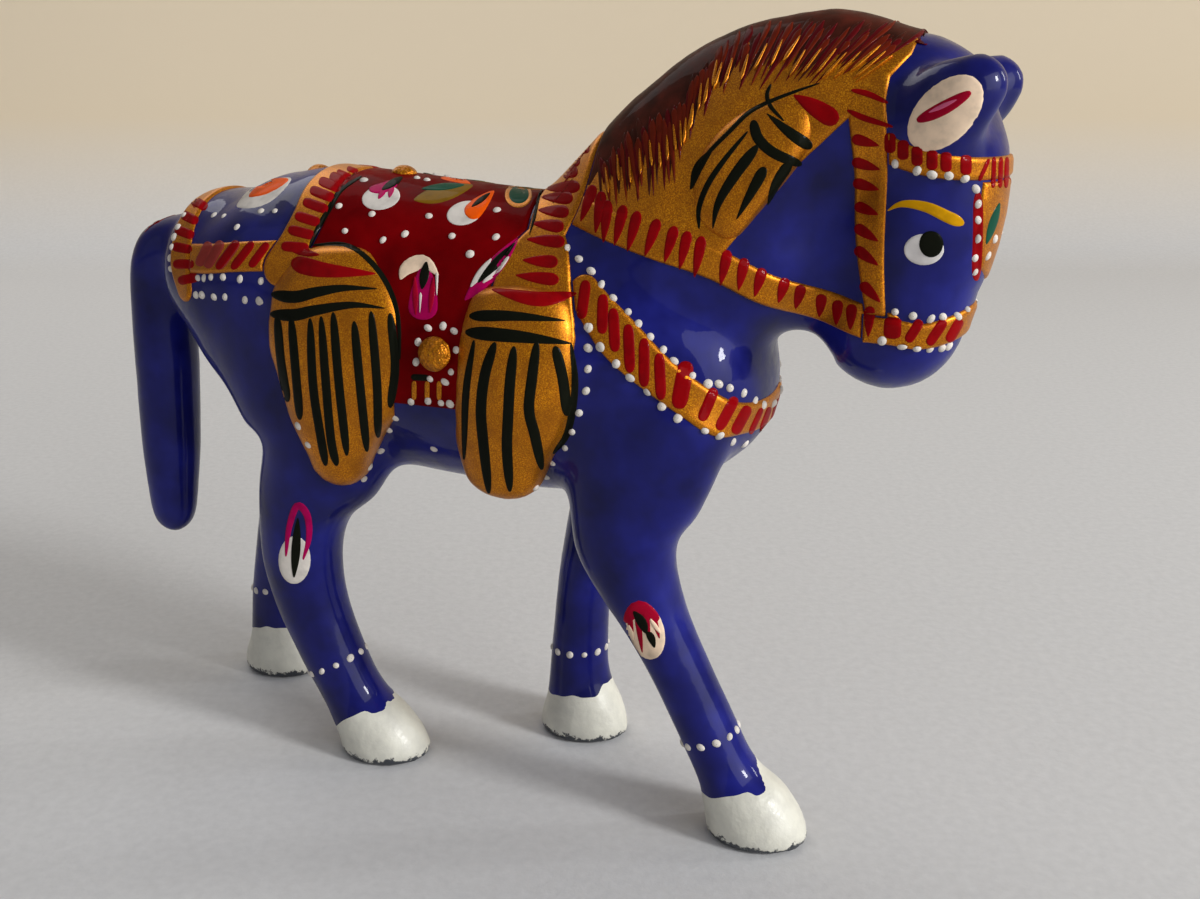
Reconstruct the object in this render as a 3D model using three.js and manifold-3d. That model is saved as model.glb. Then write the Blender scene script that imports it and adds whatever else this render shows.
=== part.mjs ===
// Enamelled folk horse: a small cast white-metal figure with raised harness ornaments.
// Millimetres, +X towards the nose, +Y to the horse's left, +Z up, standing on Z = 0.
import * as THREE from "three";
import { mergeVertices } from "three/addons/utils/BufferGeometryUtils.js";
import Module from "manifold-3d";

const wasm = await Module();
wasm.setup();

// The whole figure
const FIGURE_LENGTH = 96;
const FIGURE_WIDTH = 30;
const FIGURE_HEIGHT = 78;

// Castings and their fits
const WALL = 2.6; // metal wall of the hollow body halves
const SEAT_GAP = 0.25; // solder film between a piece and what it sits on
const PARTING_GAP = 0.1; // film between the two body halves
const LEG_PEG_RADIUS = 2.0;
const HOOF_PEG_RADIUS = 1.4;
const TAIL_PEG_RADIUS = 1.6;
const TAIL_PEG_REACH = 5.0; // how far the tail's peg goes on into the rump

// Sheet ornaments
const STRAP_THICKNESS = 0.7;
const CLOTH_THICKNESS = 0.6;
const MANE_THICKNESS = 0.6;
const PLATE_THICKNESS = 0.6;

// Hooves
const HOOF_LENGTH = 10.6;
const HOOF_WIDTH = 8.6;
const HOOF_HEIGHT = 5.4;
const HOOF_FLOOR = 1.6; // metal left under the socket of the leg's peg
const CORONET_LENGTH = 7.4; // top rim of a hoof
const CORONET_WIDTH = 7.4;
const CORONET_TILT = 0.32; // how steeply the rim rises towards the front
const CORONET_LEAN = 0.8; // how far the rim follows the leg, from 0 to 1
const SOLE_ROUNDING = 0.5;
const HOOF_LEVELS = [0.45, 0.8, 1]; // heights of the wall's sections

// Small domes
const BOSS_RADIUS = 1.9;
const BOSS_RISE = 1.1;
const RIDGE_BOSS_RADIUS = 1.5;
const EYE_RADIUS = 1.65;
const EYE_RISE = 0.55;

// Facets
const BODY_SEGMENTS = 18;
const LEG_SEGMENTS = 12;
const SMALL_SEGMENTS = 10;
const CAVITY_SEGMENTS = 8;
const CAP_RINGS = 3;
const BAND_STEPS = 8;
const DOME_RINGS = 4;

// All stations, straps, outlines and spots below are drawn for a figure of this size
// and stretched to the one above.
const DRAWING = new THREE.Vector3(96, 30, 78);
const STRETCH = new THREE.Vector3(FIGURE_LENGTH, FIGURE_WIDTH, FIGURE_HEIGHT).divide(DRAWING);
const GIRTH = Math.sqrt(STRETCH.x * STRETCH.z);
const spot = (x, y, z) => new THREE.Vector3(x, y, z).multiply(STRETCH);

// A station of a loft: its centre, its half sizes in the XZ plane and along Y,
// and crown, which narrows the section towards its upper side for a crest.
const station = (x, y, z, depth, width, crown = 0) => ({
  centre: spot(x, y, z),
  depth: depth * GIRTH,
  width: width * STRETCH.y,
  crown,
});

const TRUNK = {
  stations: [
    station(-39.5, 0, 52.3, 8.3, 8.3),
    station(-33, 0, 50.3, 13.2, 11.4),
    station(-22, 0, 48.0, 14.8, 12.8),
    station(-10, 0, 46.9, 14.8, 12.8),
    station(2, 0, 46.2, 14.6, 12.6),
    station(12, 0, 46.0, 12.4, 11.4),
    station(17, 0, 45.6, 10.4, 9.6),
  ],
  rings: 12,
  capStart: 5.6,
  capEnd: 5.0,
};
const NECK = {
  stations: [
    station(4.7, 0, 49.7, 12.0, 11.0, 0.3),
    station(12.7, 0, 56.6, 12.4, 9.8, 0.4),
    station(17.5, 0, 61.6, 12.5, 8.6, 0.4),
    station(20.9, 0, 65.7, 11.2, 7.6, 0.38),
    station(25.4, 0, 69.0, 9.0, 6.8, 0.35),
    station(31.9, 0, 69.8, 6.9, 6.4, 0.2),
  ],
  rings: 8,
  capStart: 6,
  capEnd: 4,
};
const HEAD = {
  stations: [
    station(35.2, 0, 70.8, 5.3, 6.2),
    station(35.6, 0, 66.0, 5.9, 6.9),
    station(35.5, 0, 60.5, 5.8, 6.7),
    station(34.2, 0, 55.0, 5.6, 6.0),
    station(32.7, 0, 50.3, 5.8, 5.4),
  ],
  rings: 7,
  capStart: 4.8,
  capEnd: 5.2,
};
const THROAT = {
  stations: [
    station(22, 0, 57.2, 7.4, 4.4),
    station(27, 0, 58.6, 8.6, 4.4),
    station(32, 0, 59.6, 8.2, 4.4),
  ],
  rings: 4,
  capStart: 4,
  capEnd: 4,
};

// Each leg runs from its root inside the body down to its ankle just above the hoof,
// whose sole is centred on foot.
const LEGS = {
  right_fore: {
    foot: spot(24.0, -6.3, 0),
    stations: [
      station(11.6, -6.4, 43.0, 8.6, 5.4),
      station(11.2, -6.8, 36.5, 8.0, 5.0),
      station(9.9, -7.0, 31.0, 5.8, 4.7),
      station(10.8, -7.0, 27.0, 4.5, 4.3),
      station(13.3, -6.9, 21.5, 3.3, 3.5),
      station(15.6, -6.7, 17.0, 3.0, 3.2),
      station(18.5, -6.5, 11.0, 3.0, 3.1),
      station(21.2, -6.4, HOOF_HEIGHT + 0.2, 3.1, 3.2),
    ],
  },
  left_fore: {
    foot: spot(-0.2, 7.1, 0),
    stations: [
      station(11.0, 6.4, 43.0, 8.6, 5.4),
      station(8.2, 6.8, 36.5, 7.8, 5.0),
      station(4.6, 7.0, 31.0, 5.6, 4.7),
      station(2.4, 7.2, 26.0, 4.3, 4.3),
      station(0.4, 7.2, 20.5, 3.3, 3.5),
      station(-0.5, 7.2, 15.2, 3.0, 3.3),
      station(-0.7, 7.2, 10.5, 3.3, 3.3),
      station(-1.0, 7.1, HOOF_HEIGHT + 0.2, 3.5, 3.4),
    ],
  },
  right_hind: {
    foot: spot(-18.8, -5.8, 0),
    stations: [
      station(-27.5, -6.0, 46.0, 9.8, 6.2),
      station(-23.6, -6.6, 37.5, 9.1, 5.6),
      station(-24.2, -6.6, 34.0, 7.7, 5.3),
      station(-26.0, -6.6, 31.0, 5.9, 5.0),
      station(-27.6, -6.5, 25.5, 4.7, 4.4),
      station(-27.8, -6.4, 20.5, 4.4, 4.0),
      station(-26.2, -6.2, 14.0, 3.8, 3.5),
      station(-22.6, -5.9, HOOF_HEIGHT + 1.0, 3.5, 3.3),
    ],
  },
  left_hind: {
    foot: spot(-41.8, 7.8, 0),
    stations: [
      station(-29.0, 6.0, 46.0, 9.8, 6.2),
      station(-30.5, 6.6, 37.5, 7.8, 5.6),
      station(-33.6, 6.7, 31.0, 5.9, 5.0),
      station(-37.0, 7.0, 24.5, 4.7, 4.4),
      station(-39.4, 7.3, 18.5, 4.0, 3.8),
      station(-41.2, 7.6, 12.5, 3.6, 3.4),
      station(-42.4, 7.8, HOOF_HEIGHT + 0.6, 3.5, 3.3),
    ],
  },
};
const LEG_LOFT = { rings: 10, capStart: 2, capEnd: 1.2, segments: LEG_SEGMENTS };

const TAIL = {
  stations: [
    station(-42.5, 0, 54.6, 3.6, 3.6),
    station(-47.6, 0, 53.4, 3.9, 3.8),
    station(-48.9, 0, 48.4, 3.6, 3.7),
    station(-49.3, 0, 40.0, 3.6, 3.7),
    station(-49.9, 0, 30.0, 3.4, 3.4),
    station(-50.4, 0, 21.9, 2.6, 2.6),
  ],
  rings: 10,
  capStart: 2,
  capEnd: 2.4,
  segments: SMALL_SEGMENTS,
};

// Longer than the whole figure, for cutting tools.
const REACH = 2 * FIGURE_LENGTH;

// Pieces that come in pairs are written with Y as the distance out from the middle.
const EAR = {
  stations: [
    station(34.6, 5.4, 67.6, 2.2, 1.6),
    station(36.4, 6.2, 69.6, 3.5, 2.4),
    station(38.7, 7.0, 71.4, 3.5, 2.5),
    station(40.8, 7.2, 72.8, 2.3, 1.9),
  ],
  rings: 4,
  capStart: 1.2,
  capEnd: 1.2,
  segments: SMALL_SEGMENTS,
};
const TASSELS = {
  neck: {
    stations: [
      station(25.4, 6.2, 69.4, 2.6, 1.6),
      station(23.2, 7.0, 66.8, 4.6, 2.0),
      station(20.6, 7.8, 63.2, 4.9, 2.0),
      station(18.8, 8.2, 60.6, 3.2, 1.6),
    ],
    rings: 5,
    capStart: 1.6,
    capEnd: 1.4,
    segments: SMALL_SEGMENTS,
  },
  shoulder: {
    stations: [
      station(1.2, 10.7, 53.0, 5.3, 2.6),
      station(1.2, 11.6, 49.5, 6.4, 3.0),
      station(0.8, 11.8, 45.0, 6.5, 3.0),
      station(-0.7, 11.4, 40.0, 5.3, 2.8),
      station(-1.3, 10.8, 36.1, 4.1, 2.4),
    ],
    rings: 6,
    capStart: 1.2,
    capEnd: 2.6,
    segments: LEG_SEGMENTS,
  },
  flank: {
    stations: [
      station(-18.4, 10.4, 55.4, 5.0, 2.6),
      station(-18.2, 11.7, 51.6, 8.1, 3.0),
      station(-17.7, 12.1, 46.6, 8.4, 3.0),
      station(-18.9, 11.9, 41.0, 6.1, 2.8),
      station(-19.5, 11.0, 35.8, 3.4, 2.4),
    ],
    rings: 6,
    capStart: 1.4,
    capEnd: 3.4,
    segments: LEG_SEGMENTS,
  },
};

// A strap seen from the side: points of its middle line in X and Z, with half widths.
const strap = (...rows) =>
  rows.map(([x, z, half]) => new THREE.Vector3(x * STRETCH.x, z * STRETCH.z, half * GIRTH));

const STRAPS = {
  collar: strap(
    [2.2, 68.0, 3.4],
    [2.5, 62.5, 3.0],
    [2.4, 58.5, 2.1],
    [2.3, 55.6, 3.4],
    [2.5, 52.0, 4.6],
  ),
  rear_band: strap(
    [-23.2, 66.0, 1.8],
    [-23.0, 62.0, 1.8],
    [-22.6, 59.6, 1.9],
    [-23.1, 57.0, 1.9],
    [-24.3, 54.7, 1.9],
  ),
  breast: strap(
    [7.4, 54.0, 1.6],
    [10.9, 50.0, 2.3],
    [14.5, 46.8, 2.1],
    [18.0, 44.2, 1.9],
    [21.0, 42.2, 1.9],
    [26.0, 41.2, 1.9],
  ),
  crupper: strap([-24.0, 55.7, 1.45], [-30.0, 55.2, 1.45], [-34.0, 54.7, 1.45], [-38.4, 54.3, 1.45]),
  tail_ring: strap(
    [-39.7, 63.0, 1.3],
    [-39.4, 58.8, 1.4],
    [-39.0, 56.0, 1.6],
    [-38.5, 53.6, 1.7],
    [-37.6, 51.4, 1.4],
  ),
  rein: strap(
    [3.0, 61.4, 1.3],
    [9.0, 59.9, 1.35],
    [14.0, 58.5, 1.4],
    [19.0, 56.9, 1.4],
    [25.0, 53.8, 1.5],
    [33.6, 51.8, 1.5],
  ),
  noseband: strap(
    [24.0, 51.4, 1.2],
    [33.0, 51.6, 1.2],
    [36.4, 51.2, 1.2],
    [39.2, 51.9, 1.2],
    [43.0, 53.6, 1.2],
  ),
  browband: strap([31.0, 68.0, 1.0], [34.0, 66.5, 0.9], [38.0, 65.6, 0.8], [44.0, 65.3, 0.8]),
  cheek: strap(
    [31.0, 70.2, 1.6],
    [31.4, 66.0, 1.5],
    [31.5, 62.0, 1.5],
    [31.8, 58.0, 1.3],
    [32.6, 53.0, 0.9],
  ),
};
const HEADSTALL_BACK = spot(31.5, 0, 0).x; // the noseband and the browband start here

// Sheets seen from the side, and the forehead plate seen from the front.
const fromSide = (...points) => points.map(([x, z]) => spot(x, 0, z));
const fromFront = (...points) => points.map(([y, z]) => spot(0, y, z));
const SADDLE_OUTLINE = fromSide(
  [-23.0, 68.0],
  [1.0, 68.0],
  [2.0, 60.0],
  [1.0, 54.0],
  [-2.2, 52.0],
  [-4.4, 42.4],
  [-12.2, 42.4],
  [-12.6, 50.0],
  [-22.0, 56.0],
);
const MANE_OUTLINE = fromSide(
  [3.0, 62.0],
  [11.8, 60.6],
  [19.8, 59.0],
  [25.5, 65.4],
  [29.5, 69.3],
  [32.0, 71.4],
  [32.6, 74.0],
  [34.4, 75.0],
  [35.4, 82.0],
  [3.0, 82.0],
);
const PLATE_OUTLINE = fromFront(
  [-4.8, 67.0],
  [4.8, 67.0],
  [5.0, 62.9],
  [4.7, 59.8],
  [3.1, 57.0],
  [0, 55.6],
  [-3.1, 57.0],
  [-4.7, 59.8],
  [-5.0, 62.9],
);

// Where the domes sit: on the flank, on the cheek and along the spine.
const CLOTH_TOP = SEAT_GAP + CLOTH_THICKNESS + SEAT_GAP;
const SADDLE_BOSS = spot(-6.4, 0, 47.8);
const EYE = spot(36.3, 0, 58.9);
const RIDGE_BOSSES = {
  fore: { below: spot(-16.9, 0, 0), seat: CLOTH_TOP },
  rear: { below: spot(-27.0, 0, 0), seat: SEAT_GAP },
};

// Enamels
function paint(color, roughness, metalness) {
  return new THREE.MeshStandardMaterial({ color, roughness, metalness });
}
const blue = () => paint(0x24246e, 0.25, 0);
const gold = () => paint(0xb07c22, 0.35, 0.6);
const red = () => paint(0x5e0a0c, 0.25, 0);
const maroon = () => paint(0x6b3a18, 0.4, 0.2);
const white = () => paint(0xe6e4de, 0.5, 0);

// A closed skin over rings of equal length, with a pole beyond each end.
function skin(rings, firstPole, lastPole) {
  const segments = rings[0].length;
  const points = [firstPole, ...rings.flat(), lastPole];
  const last = points.length - 1;
  const at = (ring, i) => 1 + ring * segments + (i % segments);
  const index = [];
  for (let i = 0; i < segments; i++) {
    index.push(0, at(0, i + 1), at(0, i));
    index.push(last, at(rings.length - 1, i), at(rings.length - 1, i + 1));
    for (let r = 0; r + 1 < rings.length; r++) {
      index.push(at(r, i), at(r, i + 1), at(r + 1, i));
      index.push(at(r, i + 1), at(r + 1, i + 1), at(r + 1, i));
    }
  }
  return new THREE.BufferGeometry().setFromPoints(points).setIndex(index);
}

// A closed tube through the stations, each section square to the line of their centres.
function loft({ stations, rings, capStart, capEnd, segments = BODY_SEGMENTS }, grow = 0) {
  const firstCap = capStart * GIRTH + grow;
  const lastCap = capEnd * GIRTH + grow;
  const centres = new THREE.CatmullRomCurve3(stations.map((s) => s.centre));
  const sizes = new THREE.CatmullRomCurve3(
    stations.map((s) => new THREE.Vector3(s.depth, s.width, s.crown)),
  );
  const pole = (t, along) => centres.getPoint(t).addScaledVector(centres.getTangent(t), along);
  const section = (t, along, shrink) => {
    const tangent = centres.getTangent(t);
    const side = new THREE.Vector3(0, 1, 0).addScaledVector(tangent, -tangent.y).normalize();
    const normal = new THREE.Vector3().crossVectors(tangent, side);
    const size = sizes.getPoint(t);
    const centre = pole(t, along);
    return Array.from({ length: segments }, (_, i) => {
      const angle = (2 * Math.PI * i) / segments;
      const high = Math.sin(angle);
      const narrow = 1 - size.z * Math.max(0, high) ** 2;
      return centre
        .clone()
        .addScaledVector(side, (size.y * narrow + grow) * Math.cos(angle) * shrink)
        .addScaledVector(normal, (size.x + grow) * high * shrink);
    });
  };
  const sections = [];
  for (let k = CAP_RINGS - 1; k > 0; k--) {
    const angle = (Math.PI / 2) * (k / CAP_RINGS);
    sections.push(section(0, -firstCap * Math.sin(angle), Math.cos(angle)));
  }
  for (let i = 0; i <= rings; i++) sections.push(section(i / rings, 0, 1));
  for (let k = 1; k < CAP_RINGS; k++) {
    const angle = (Math.PI / 2) * (k / CAP_RINGS);
    sections.push(section(1, lastCap * Math.sin(angle), Math.cos(angle)));
  }
  return solid(skin(sections, pole(0, -firstCap), pole(1, lastCap)));
}

function solid(geometry) {
  const bare = geometry.clone();
  bare.deleteAttribute("normal");
  bare.deleteAttribute("uv");
  const merged = mergeVertices(bare, 1e-4);
  return new wasm.Manifold(
    new wasm.Mesh({
      numProp: 3,
      vertProperties: merged.attributes.position.array,
      triVerts: new Uint32Array(merged.index.array),
    }),
  );
}

function geometryOf(manifold) {
  const { vertProperties, triVerts } = manifold.getMesh();
  const geometry = new THREE.BufferGeometry();
  geometry.setAttribute("position", new THREE.BufferAttribute(vertProperties, 3));
  geometry.setIndex(new THREE.BufferAttribute(triVerts, 1));
  return geometry;
}

const join = (solids) => solids.reduce((a, b) => a.add(b));
const cut = (piece, ...tools) => tools.reduce((a, b) => a.subtract(b), piece);
const largest = (piece) => piece.decompose().sort((a, b) => b.volume() - a.volume())[0];

// A round rod between two points.
function rod(from, to, radius) {
  const along = to.clone().sub(from);
  const geometry = new THREE.CylinderGeometry(radius, radius, along.length(), SMALL_SEGMENTS);
  const turn = new THREE.Quaternion().setFromUnitVectors(new THREE.Vector3(0, 1, 0), along.normalize());
  geometry.applyQuaternion(turn);
  geometry.translate(...from.clone().add(to).multiplyScalar(0.5).toArray());
  return solid(geometry);
}

// Outlines pushed through the figure, from side to side or from its middle to the front.
function sidePrism(points) {
  const shape = new THREE.Shape(points.map(({ x, z }) => new THREE.Vector2(x, z)));
  const geometry = new THREE.ExtrudeGeometry(shape, { depth: REACH, bevelEnabled: false });
  geometry.rotateX(Math.PI / 2);
  geometry.translate(0, REACH / 2, 0);
  return solid(geometry);
}
function frontPrism(points, startX) {
  const shape = new THREE.Shape(points.map(({ y, z }) => new THREE.Vector2(y, z)));
  const geometry = new THREE.ExtrudeGeometry(shape, { depth: REACH, bevelEnabled: false });
  const axes = [new THREE.Vector3(0, 1, 0), new THREE.Vector3(0, 0, 1), new THREE.Vector3(1, 0, 0)];
  geometry.applyMatrix4(new THREE.Matrix4().makeBasis(...axes));
  geometry.translate(startX, 0, 0);
  return solid(geometry);
}

// The side outline of a strap, widened by grow all round.
function strapPrism(points, grow = 0) {
  const middle = new THREE.CatmullRomCurve3(points);
  const upper = [];
  const lower = [];
  for (let i = 0; i <= BAND_STEPS; i++) {
    const t = i / BAND_STEPS;
    const { x, y: z, z: half } = middle.getPoint(t);
    const tangent = middle.getTangent(t);
    const across = new THREE.Vector2(-tangent.y, tangent.x).normalize().multiplyScalar(half + grow);
    upper.push({ x: x + across.x, z: z + across.y });
    lower.push({ x: x - across.x, z: z - across.y });
  }
  return sidePrism([...lower, ...upper.reverse()]);
}

// Everything on one side of the middle plane (sign -1 is the right side).
function halfSpace(sign, clearance) {
  const geometry = new THREE.BoxGeometry(REACH * 2, REACH, REACH * 2);
  geometry.translate(0, sign * (REACH / 2 + clearance), 0);
  return solid(geometry);
}
function inFrontOf(x) {
  const geometry = new THREE.BoxGeometry(REACH, REACH, REACH * 2);
  geometry.translate(x + REACH / 2, 0, 0);
  return solid(geometry);
}

const onSide = (form, sign) => ({
  ...form,
  stations: form.stations.map((s) => ({ ...s, centre: s.centre.clone().setY(s.centre.y * sign) })),
});

// A hoof: a flat sole, walls that lean with the leg, and a coronet that rises to the front.
function hoof({ foot, stations }, grow = 0) {
  const ankle = stations.at(-1);
  const profile = [
    { rise: 0, inset: SOLE_ROUNDING },
    { rise: SOLE_ROUNDING / HOOF_HEIGHT, inset: 0 },
    ...HOOF_LEVELS.map((rise) => ({ rise, inset: 0 })),
  ];
  const rings = profile.map(({ rise, inset }) => {
    const taper = rise ** 2;
    const tilt = CORONET_TILT * taper;
    const centre = foot.clone().lerp(ankle.centre.clone().setZ(0), CORONET_LEAN * taper);
    const length = THREE.MathUtils.lerp(HOOF_LENGTH, CORONET_LENGTH, taper) / 2 - inset + grow;
    const width = THREE.MathUtils.lerp(HOOF_WIDTH, CORONET_WIDTH, taper) / 2 - inset + grow;
    const height = rise * HOOF_HEIGHT + (rise > 0 ? grow : -grow);
    return Array.from({ length: LEG_SEGMENTS }, (_, i) => {
      const angle = (2 * Math.PI * i) / LEG_SEGMENTS;
      const x = length * Math.cos(angle);
      return new THREE.Vector3(centre.x + x, centre.y + width * Math.sin(angle), height + tilt * x);
    });
  });
  const middle = (ring) =>
    ring.reduce((sum, p) => sum.add(p), new THREE.Vector3()).multiplyScalar(1 / ring.length);
  return solid(skin(rings, middle(rings[0]), middle(rings.at(-1))));
}

// A leg's loft goes on below its ankle into the hoof, which then cuts it off.
function legForm({ foot, stations }) {
  const ankle = stations.at(-1);
  const heel = ankle.centre.clone().setZ(HOOF_HEIGHT).lerp(foot, 0.5);
  return { ...LEG_LOFT, stations: [...stations, { ...ankle, centre: heel }] };
}

// The whole figure without its ornaments, grown outwards, kept for each growth.
const bodyForms = [TRUNK, NECK, HEAD, THROAT];
const limbForms = [...Object.values(LEGS).map(legForm), TAIL];
const grownBodies = new Map();
function body(grow) {
  if (!grownBodies.has(grow)) grownBodies.set(grow, join(bodyForms.map((form) => loft(form, grow))));
  return grownBodies.get(grow);
}
const grownFigures = new Map();
function figure(grow) {
  if (!grownFigures.has(grow)) {
    grownFigures.set(grow, join([body(grow), ...limbForms.map((form) => loft(form, grow))]));
  }
  return grownFigures.get(grow);
}

// A sheet of the given thickness lying on the figure inside a prism.
const layer = (prism, thickness) =>
  prism.intersect(figure(SEAT_GAP + thickness)).subtract(figure(SEAT_GAP));

const horse = new THREE.Group();
function add(name, manifold, material) {
  const mesh = new THREE.Mesh(geometryOf(manifold), material);
  mesh.name = name;
  horse.add(mesh);
}

const SIDES = { right: -1, left: 1 };

// Legs: each is soldered against the body and carried by a peg, and stands in its hoof on another.
const sockets = [];
for (const [name, leg] of Object.entries(LEGS)) {
  const [root, , shoulder] = leg.stations.map((s) => s.centre);
  const shank = leg.stations.at(-2).centre;
  const toe = leg.foot.clone().setZ(HOOF_FLOOR);
  const flesh = largest(cut(loft(legForm(leg)), body(SEAT_GAP), hoof(leg, SEAT_GAP)));
  const pegs = [rod(shoulder, root, LEG_PEG_RADIUS), rod(shank, toe, HOOF_PEG_RADIUS)];
  add(`${name}leg`, join([flesh, ...pegs]), blue());
  sockets.push(rod(shoulder, root, LEG_PEG_RADIUS + SEAT_GAP));
  add(`${name}_hoof`, cut(hoof(leg), rod(shank, toe, HOOF_PEG_RADIUS + SEAT_GAP)), white());
}

// Tail, with its peg held between the two halves.
const [tailRoot, tailBend] = TAIL.stations.map((s) => s.centre);
const tailPegWay = tailRoot.clone().sub(tailBend).normalize();
const tailPegEnd = tailRoot.clone().addScaledVector(tailPegWay, TAIL_PEG_REACH);
const tail = largest(cut(loft(TAIL), body(SEAT_GAP)));
add("tail", tail.add(rod(tailBend, tailPegEnd, TAIL_PEG_RADIUS)), blue());
sockets.push(rod(tailBend, tailPegEnd, TAIL_PEG_RADIUS + SEAT_GAP));

// Body: two hollow halves that meet on the middle plane.
const cavity = join(
  [TRUNK, NECK].map((form) => loft({ ...form, rings: 5, segments: CAVITY_SEGMENTS }, -WALL)),
);
const hollowBody = cut(body(0), cavity, ...sockets);
for (const [side, sign] of Object.entries(SIDES)) {
  add(`${side}_body_half`, largest(hollowBody.intersect(halfSpace(sign, PARTING_GAP / 2))), blue());
}

// Ornaments that lie over others come first, and their grown copies cut what lies beside them.
const grownTassels = [];
const grownEars = [];
for (const [side, sign] of Object.entries(SIDES)) {
  for (const [place, form] of Object.entries(TASSELS)) {
    const tassel = onSide(form, sign);
    add(`${side}_${place}_tassel`, largest(cut(loft(tassel), figure(SEAT_GAP))), gold());
    grownTassels.push(loft(tassel, SEAT_GAP));
  }
  const ear = onSide(EAR, sign);
  add(`${side}_ear`, largest(cut(loft(ear), figure(SEAT_GAP))), blue());
  grownEars.push(loft(ear, SEAT_GAP));
}

const straps = (name, grow = 0) => strapPrism(STRAPS[name], grow);
const front = inFrontOf(HEADSTALL_BACK);
const beside = Object.fromEntries(
  Object.keys(STRAPS).map((name) => [name, straps(name, SEAT_GAP)]),
);
beside.noseband = beside.noseband.intersect(inFrontOf(HEADSTALL_BACK - SEAT_GAP));
beside.browband = beside.browband.intersect(front);

function addStrap(name, prism, tools) {
  add(name, largest(cut(layer(prism, STRAP_THICKNESS), ...tools)), gold());
}
addStrap("saddle_collar", straps("collar"), grownTassels);
addStrap("saddle_rear_band", straps("rear_band"), grownTassels);
addStrap("breast_collar", straps("breast"), [...grownTassels, beside.collar]);
addStrap("tail_ring", straps("tail_ring"), [loft(TAIL, SEAT_GAP)]);
addStrap("noseband", straps("noseband").intersect(front), []);
addStrap("browband", straps("browband").intersect(front), [...grownEars, beside.cheek]);
for (const [side, sign] of Object.entries(SIDES)) {
  const half = halfSpace(sign, SEAT_GAP);
  const cheek = straps("cheek").intersect(half);
  addStrap(`${side}_cheek_strap`, cheek, [...grownEars, beside.noseband]);
  const rein = straps("rein").intersect(half);
  addStrap(`${side}_rein`, rein, [...grownTassels, beside.collar, beside.cheek, beside.noseband]);
  const crupper = straps("crupper").intersect(half);
  addStrap(`${side}_crupper_strap`, crupper, [...grownTassels, beside.rear_band, beside.tail_ring]);
}

const cloth = layer(sidePrism(SADDLE_OUTLINE), CLOTH_THICKNESS);
add("saddle_cloth", largest(cut(cloth, ...grownTassels, beside.collar, beside.rear_band)), red());
const mane = layer(sidePrism(MANE_OUTLINE), MANE_THICKNESS);
const maneTools = [...grownTassels, ...grownEars, beside.collar, beside.rein, beside.cheek];
add("mane", largest(cut(mane, ...maneTools)), maroon());

// A low dome on a point, flattened along the way that it faces, cut off by what it sits on.
function dome(at, radius, rise, facing) {
  const geometry = new THREE.SphereGeometry(1, SMALL_SEGMENTS, DOME_RINGS);
  const flatten = (axis) => (facing[axis] === 0 ? radius : rise);
  geometry.scale(flatten("x"), flatten("y"), flatten("z"));
  geometry.translate(at.x, at.y, at.z);
  return solid(geometry);
}
// Where a line out from a point leaves the grown figure.
function surface(grow, from, towards) {
  const skinMesh = new THREE.Mesh(geometryOf(figure(grow)));
  const outside = from.clone().addScaledVector(towards, REACH);
  return new THREE.Raycaster(outside, towards.clone().negate()).intersectObject(skinMesh)[0].point;
}
const grownEyes = [];
for (const [side, sign] of Object.entries(SIDES)) {
  const outward = new THREE.Vector3(0, sign, 0);
  const flank = surface(CLOTH_TOP, SADDLE_BOSS, outward);
  const boss = dome(flank, BOSS_RADIUS, BOSS_RISE, outward);
  add(`${side}_saddle_boss`, largest(cut(boss, figure(CLOTH_TOP), ...grownTassels)), gold());
  const cheek = surface(SEAT_GAP, EYE, outward);
  const eye = dome(cheek, EYE_RADIUS, EYE_RISE, outward);
  add(`${side}_eye`, largest(cut(eye, figure(SEAT_GAP), beside.cheek)), white());
  grownEyes.push(dome(cheek, EYE_RADIUS + SEAT_GAP, EYE_RISE + SEAT_GAP, outward));
}
for (const [place, { below, seat }] of Object.entries(RIDGE_BOSSES)) {
  const upward = new THREE.Vector3(0, 0, 1);
  const spine = surface(seat, below, upward);
  const boss = dome(spine, RIDGE_BOSS_RADIUS, BOSS_RISE, upward);
  add(`${place}_ridge_boss`, largest(cut(boss, figure(seat), beside.rear_band)), gold());
}

// The forehead plate keeps clear of the eyes.
const plate = layer(frontPrism(PLATE_OUTLINE, HEAD.stations[1].centre.x), PLATE_THICKNESS);
add("forehead_plate", largest(cut(plate, beside.browband, ...grownEyes)), gold());

// The origin lies on the ground under the middle of the figure.
const bounds = new THREE.Box3().setFromObject(horse);
const middle = bounds.getCenter(new THREE.Vector3());
horse.position.set(-middle.x, -middle.y, -bounds.min.z);

export default horse;
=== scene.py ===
"""Looks of an enamelled folk horse: a small cast figure with raised harness and hand-painted ornament.

Shapes are worked out in millimetres in the frame's own axes and written to meshes in metres.
"""

import math

import bpy
import numpy as np
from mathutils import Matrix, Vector
from mathutils.bvhtree import BVHTree


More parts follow.
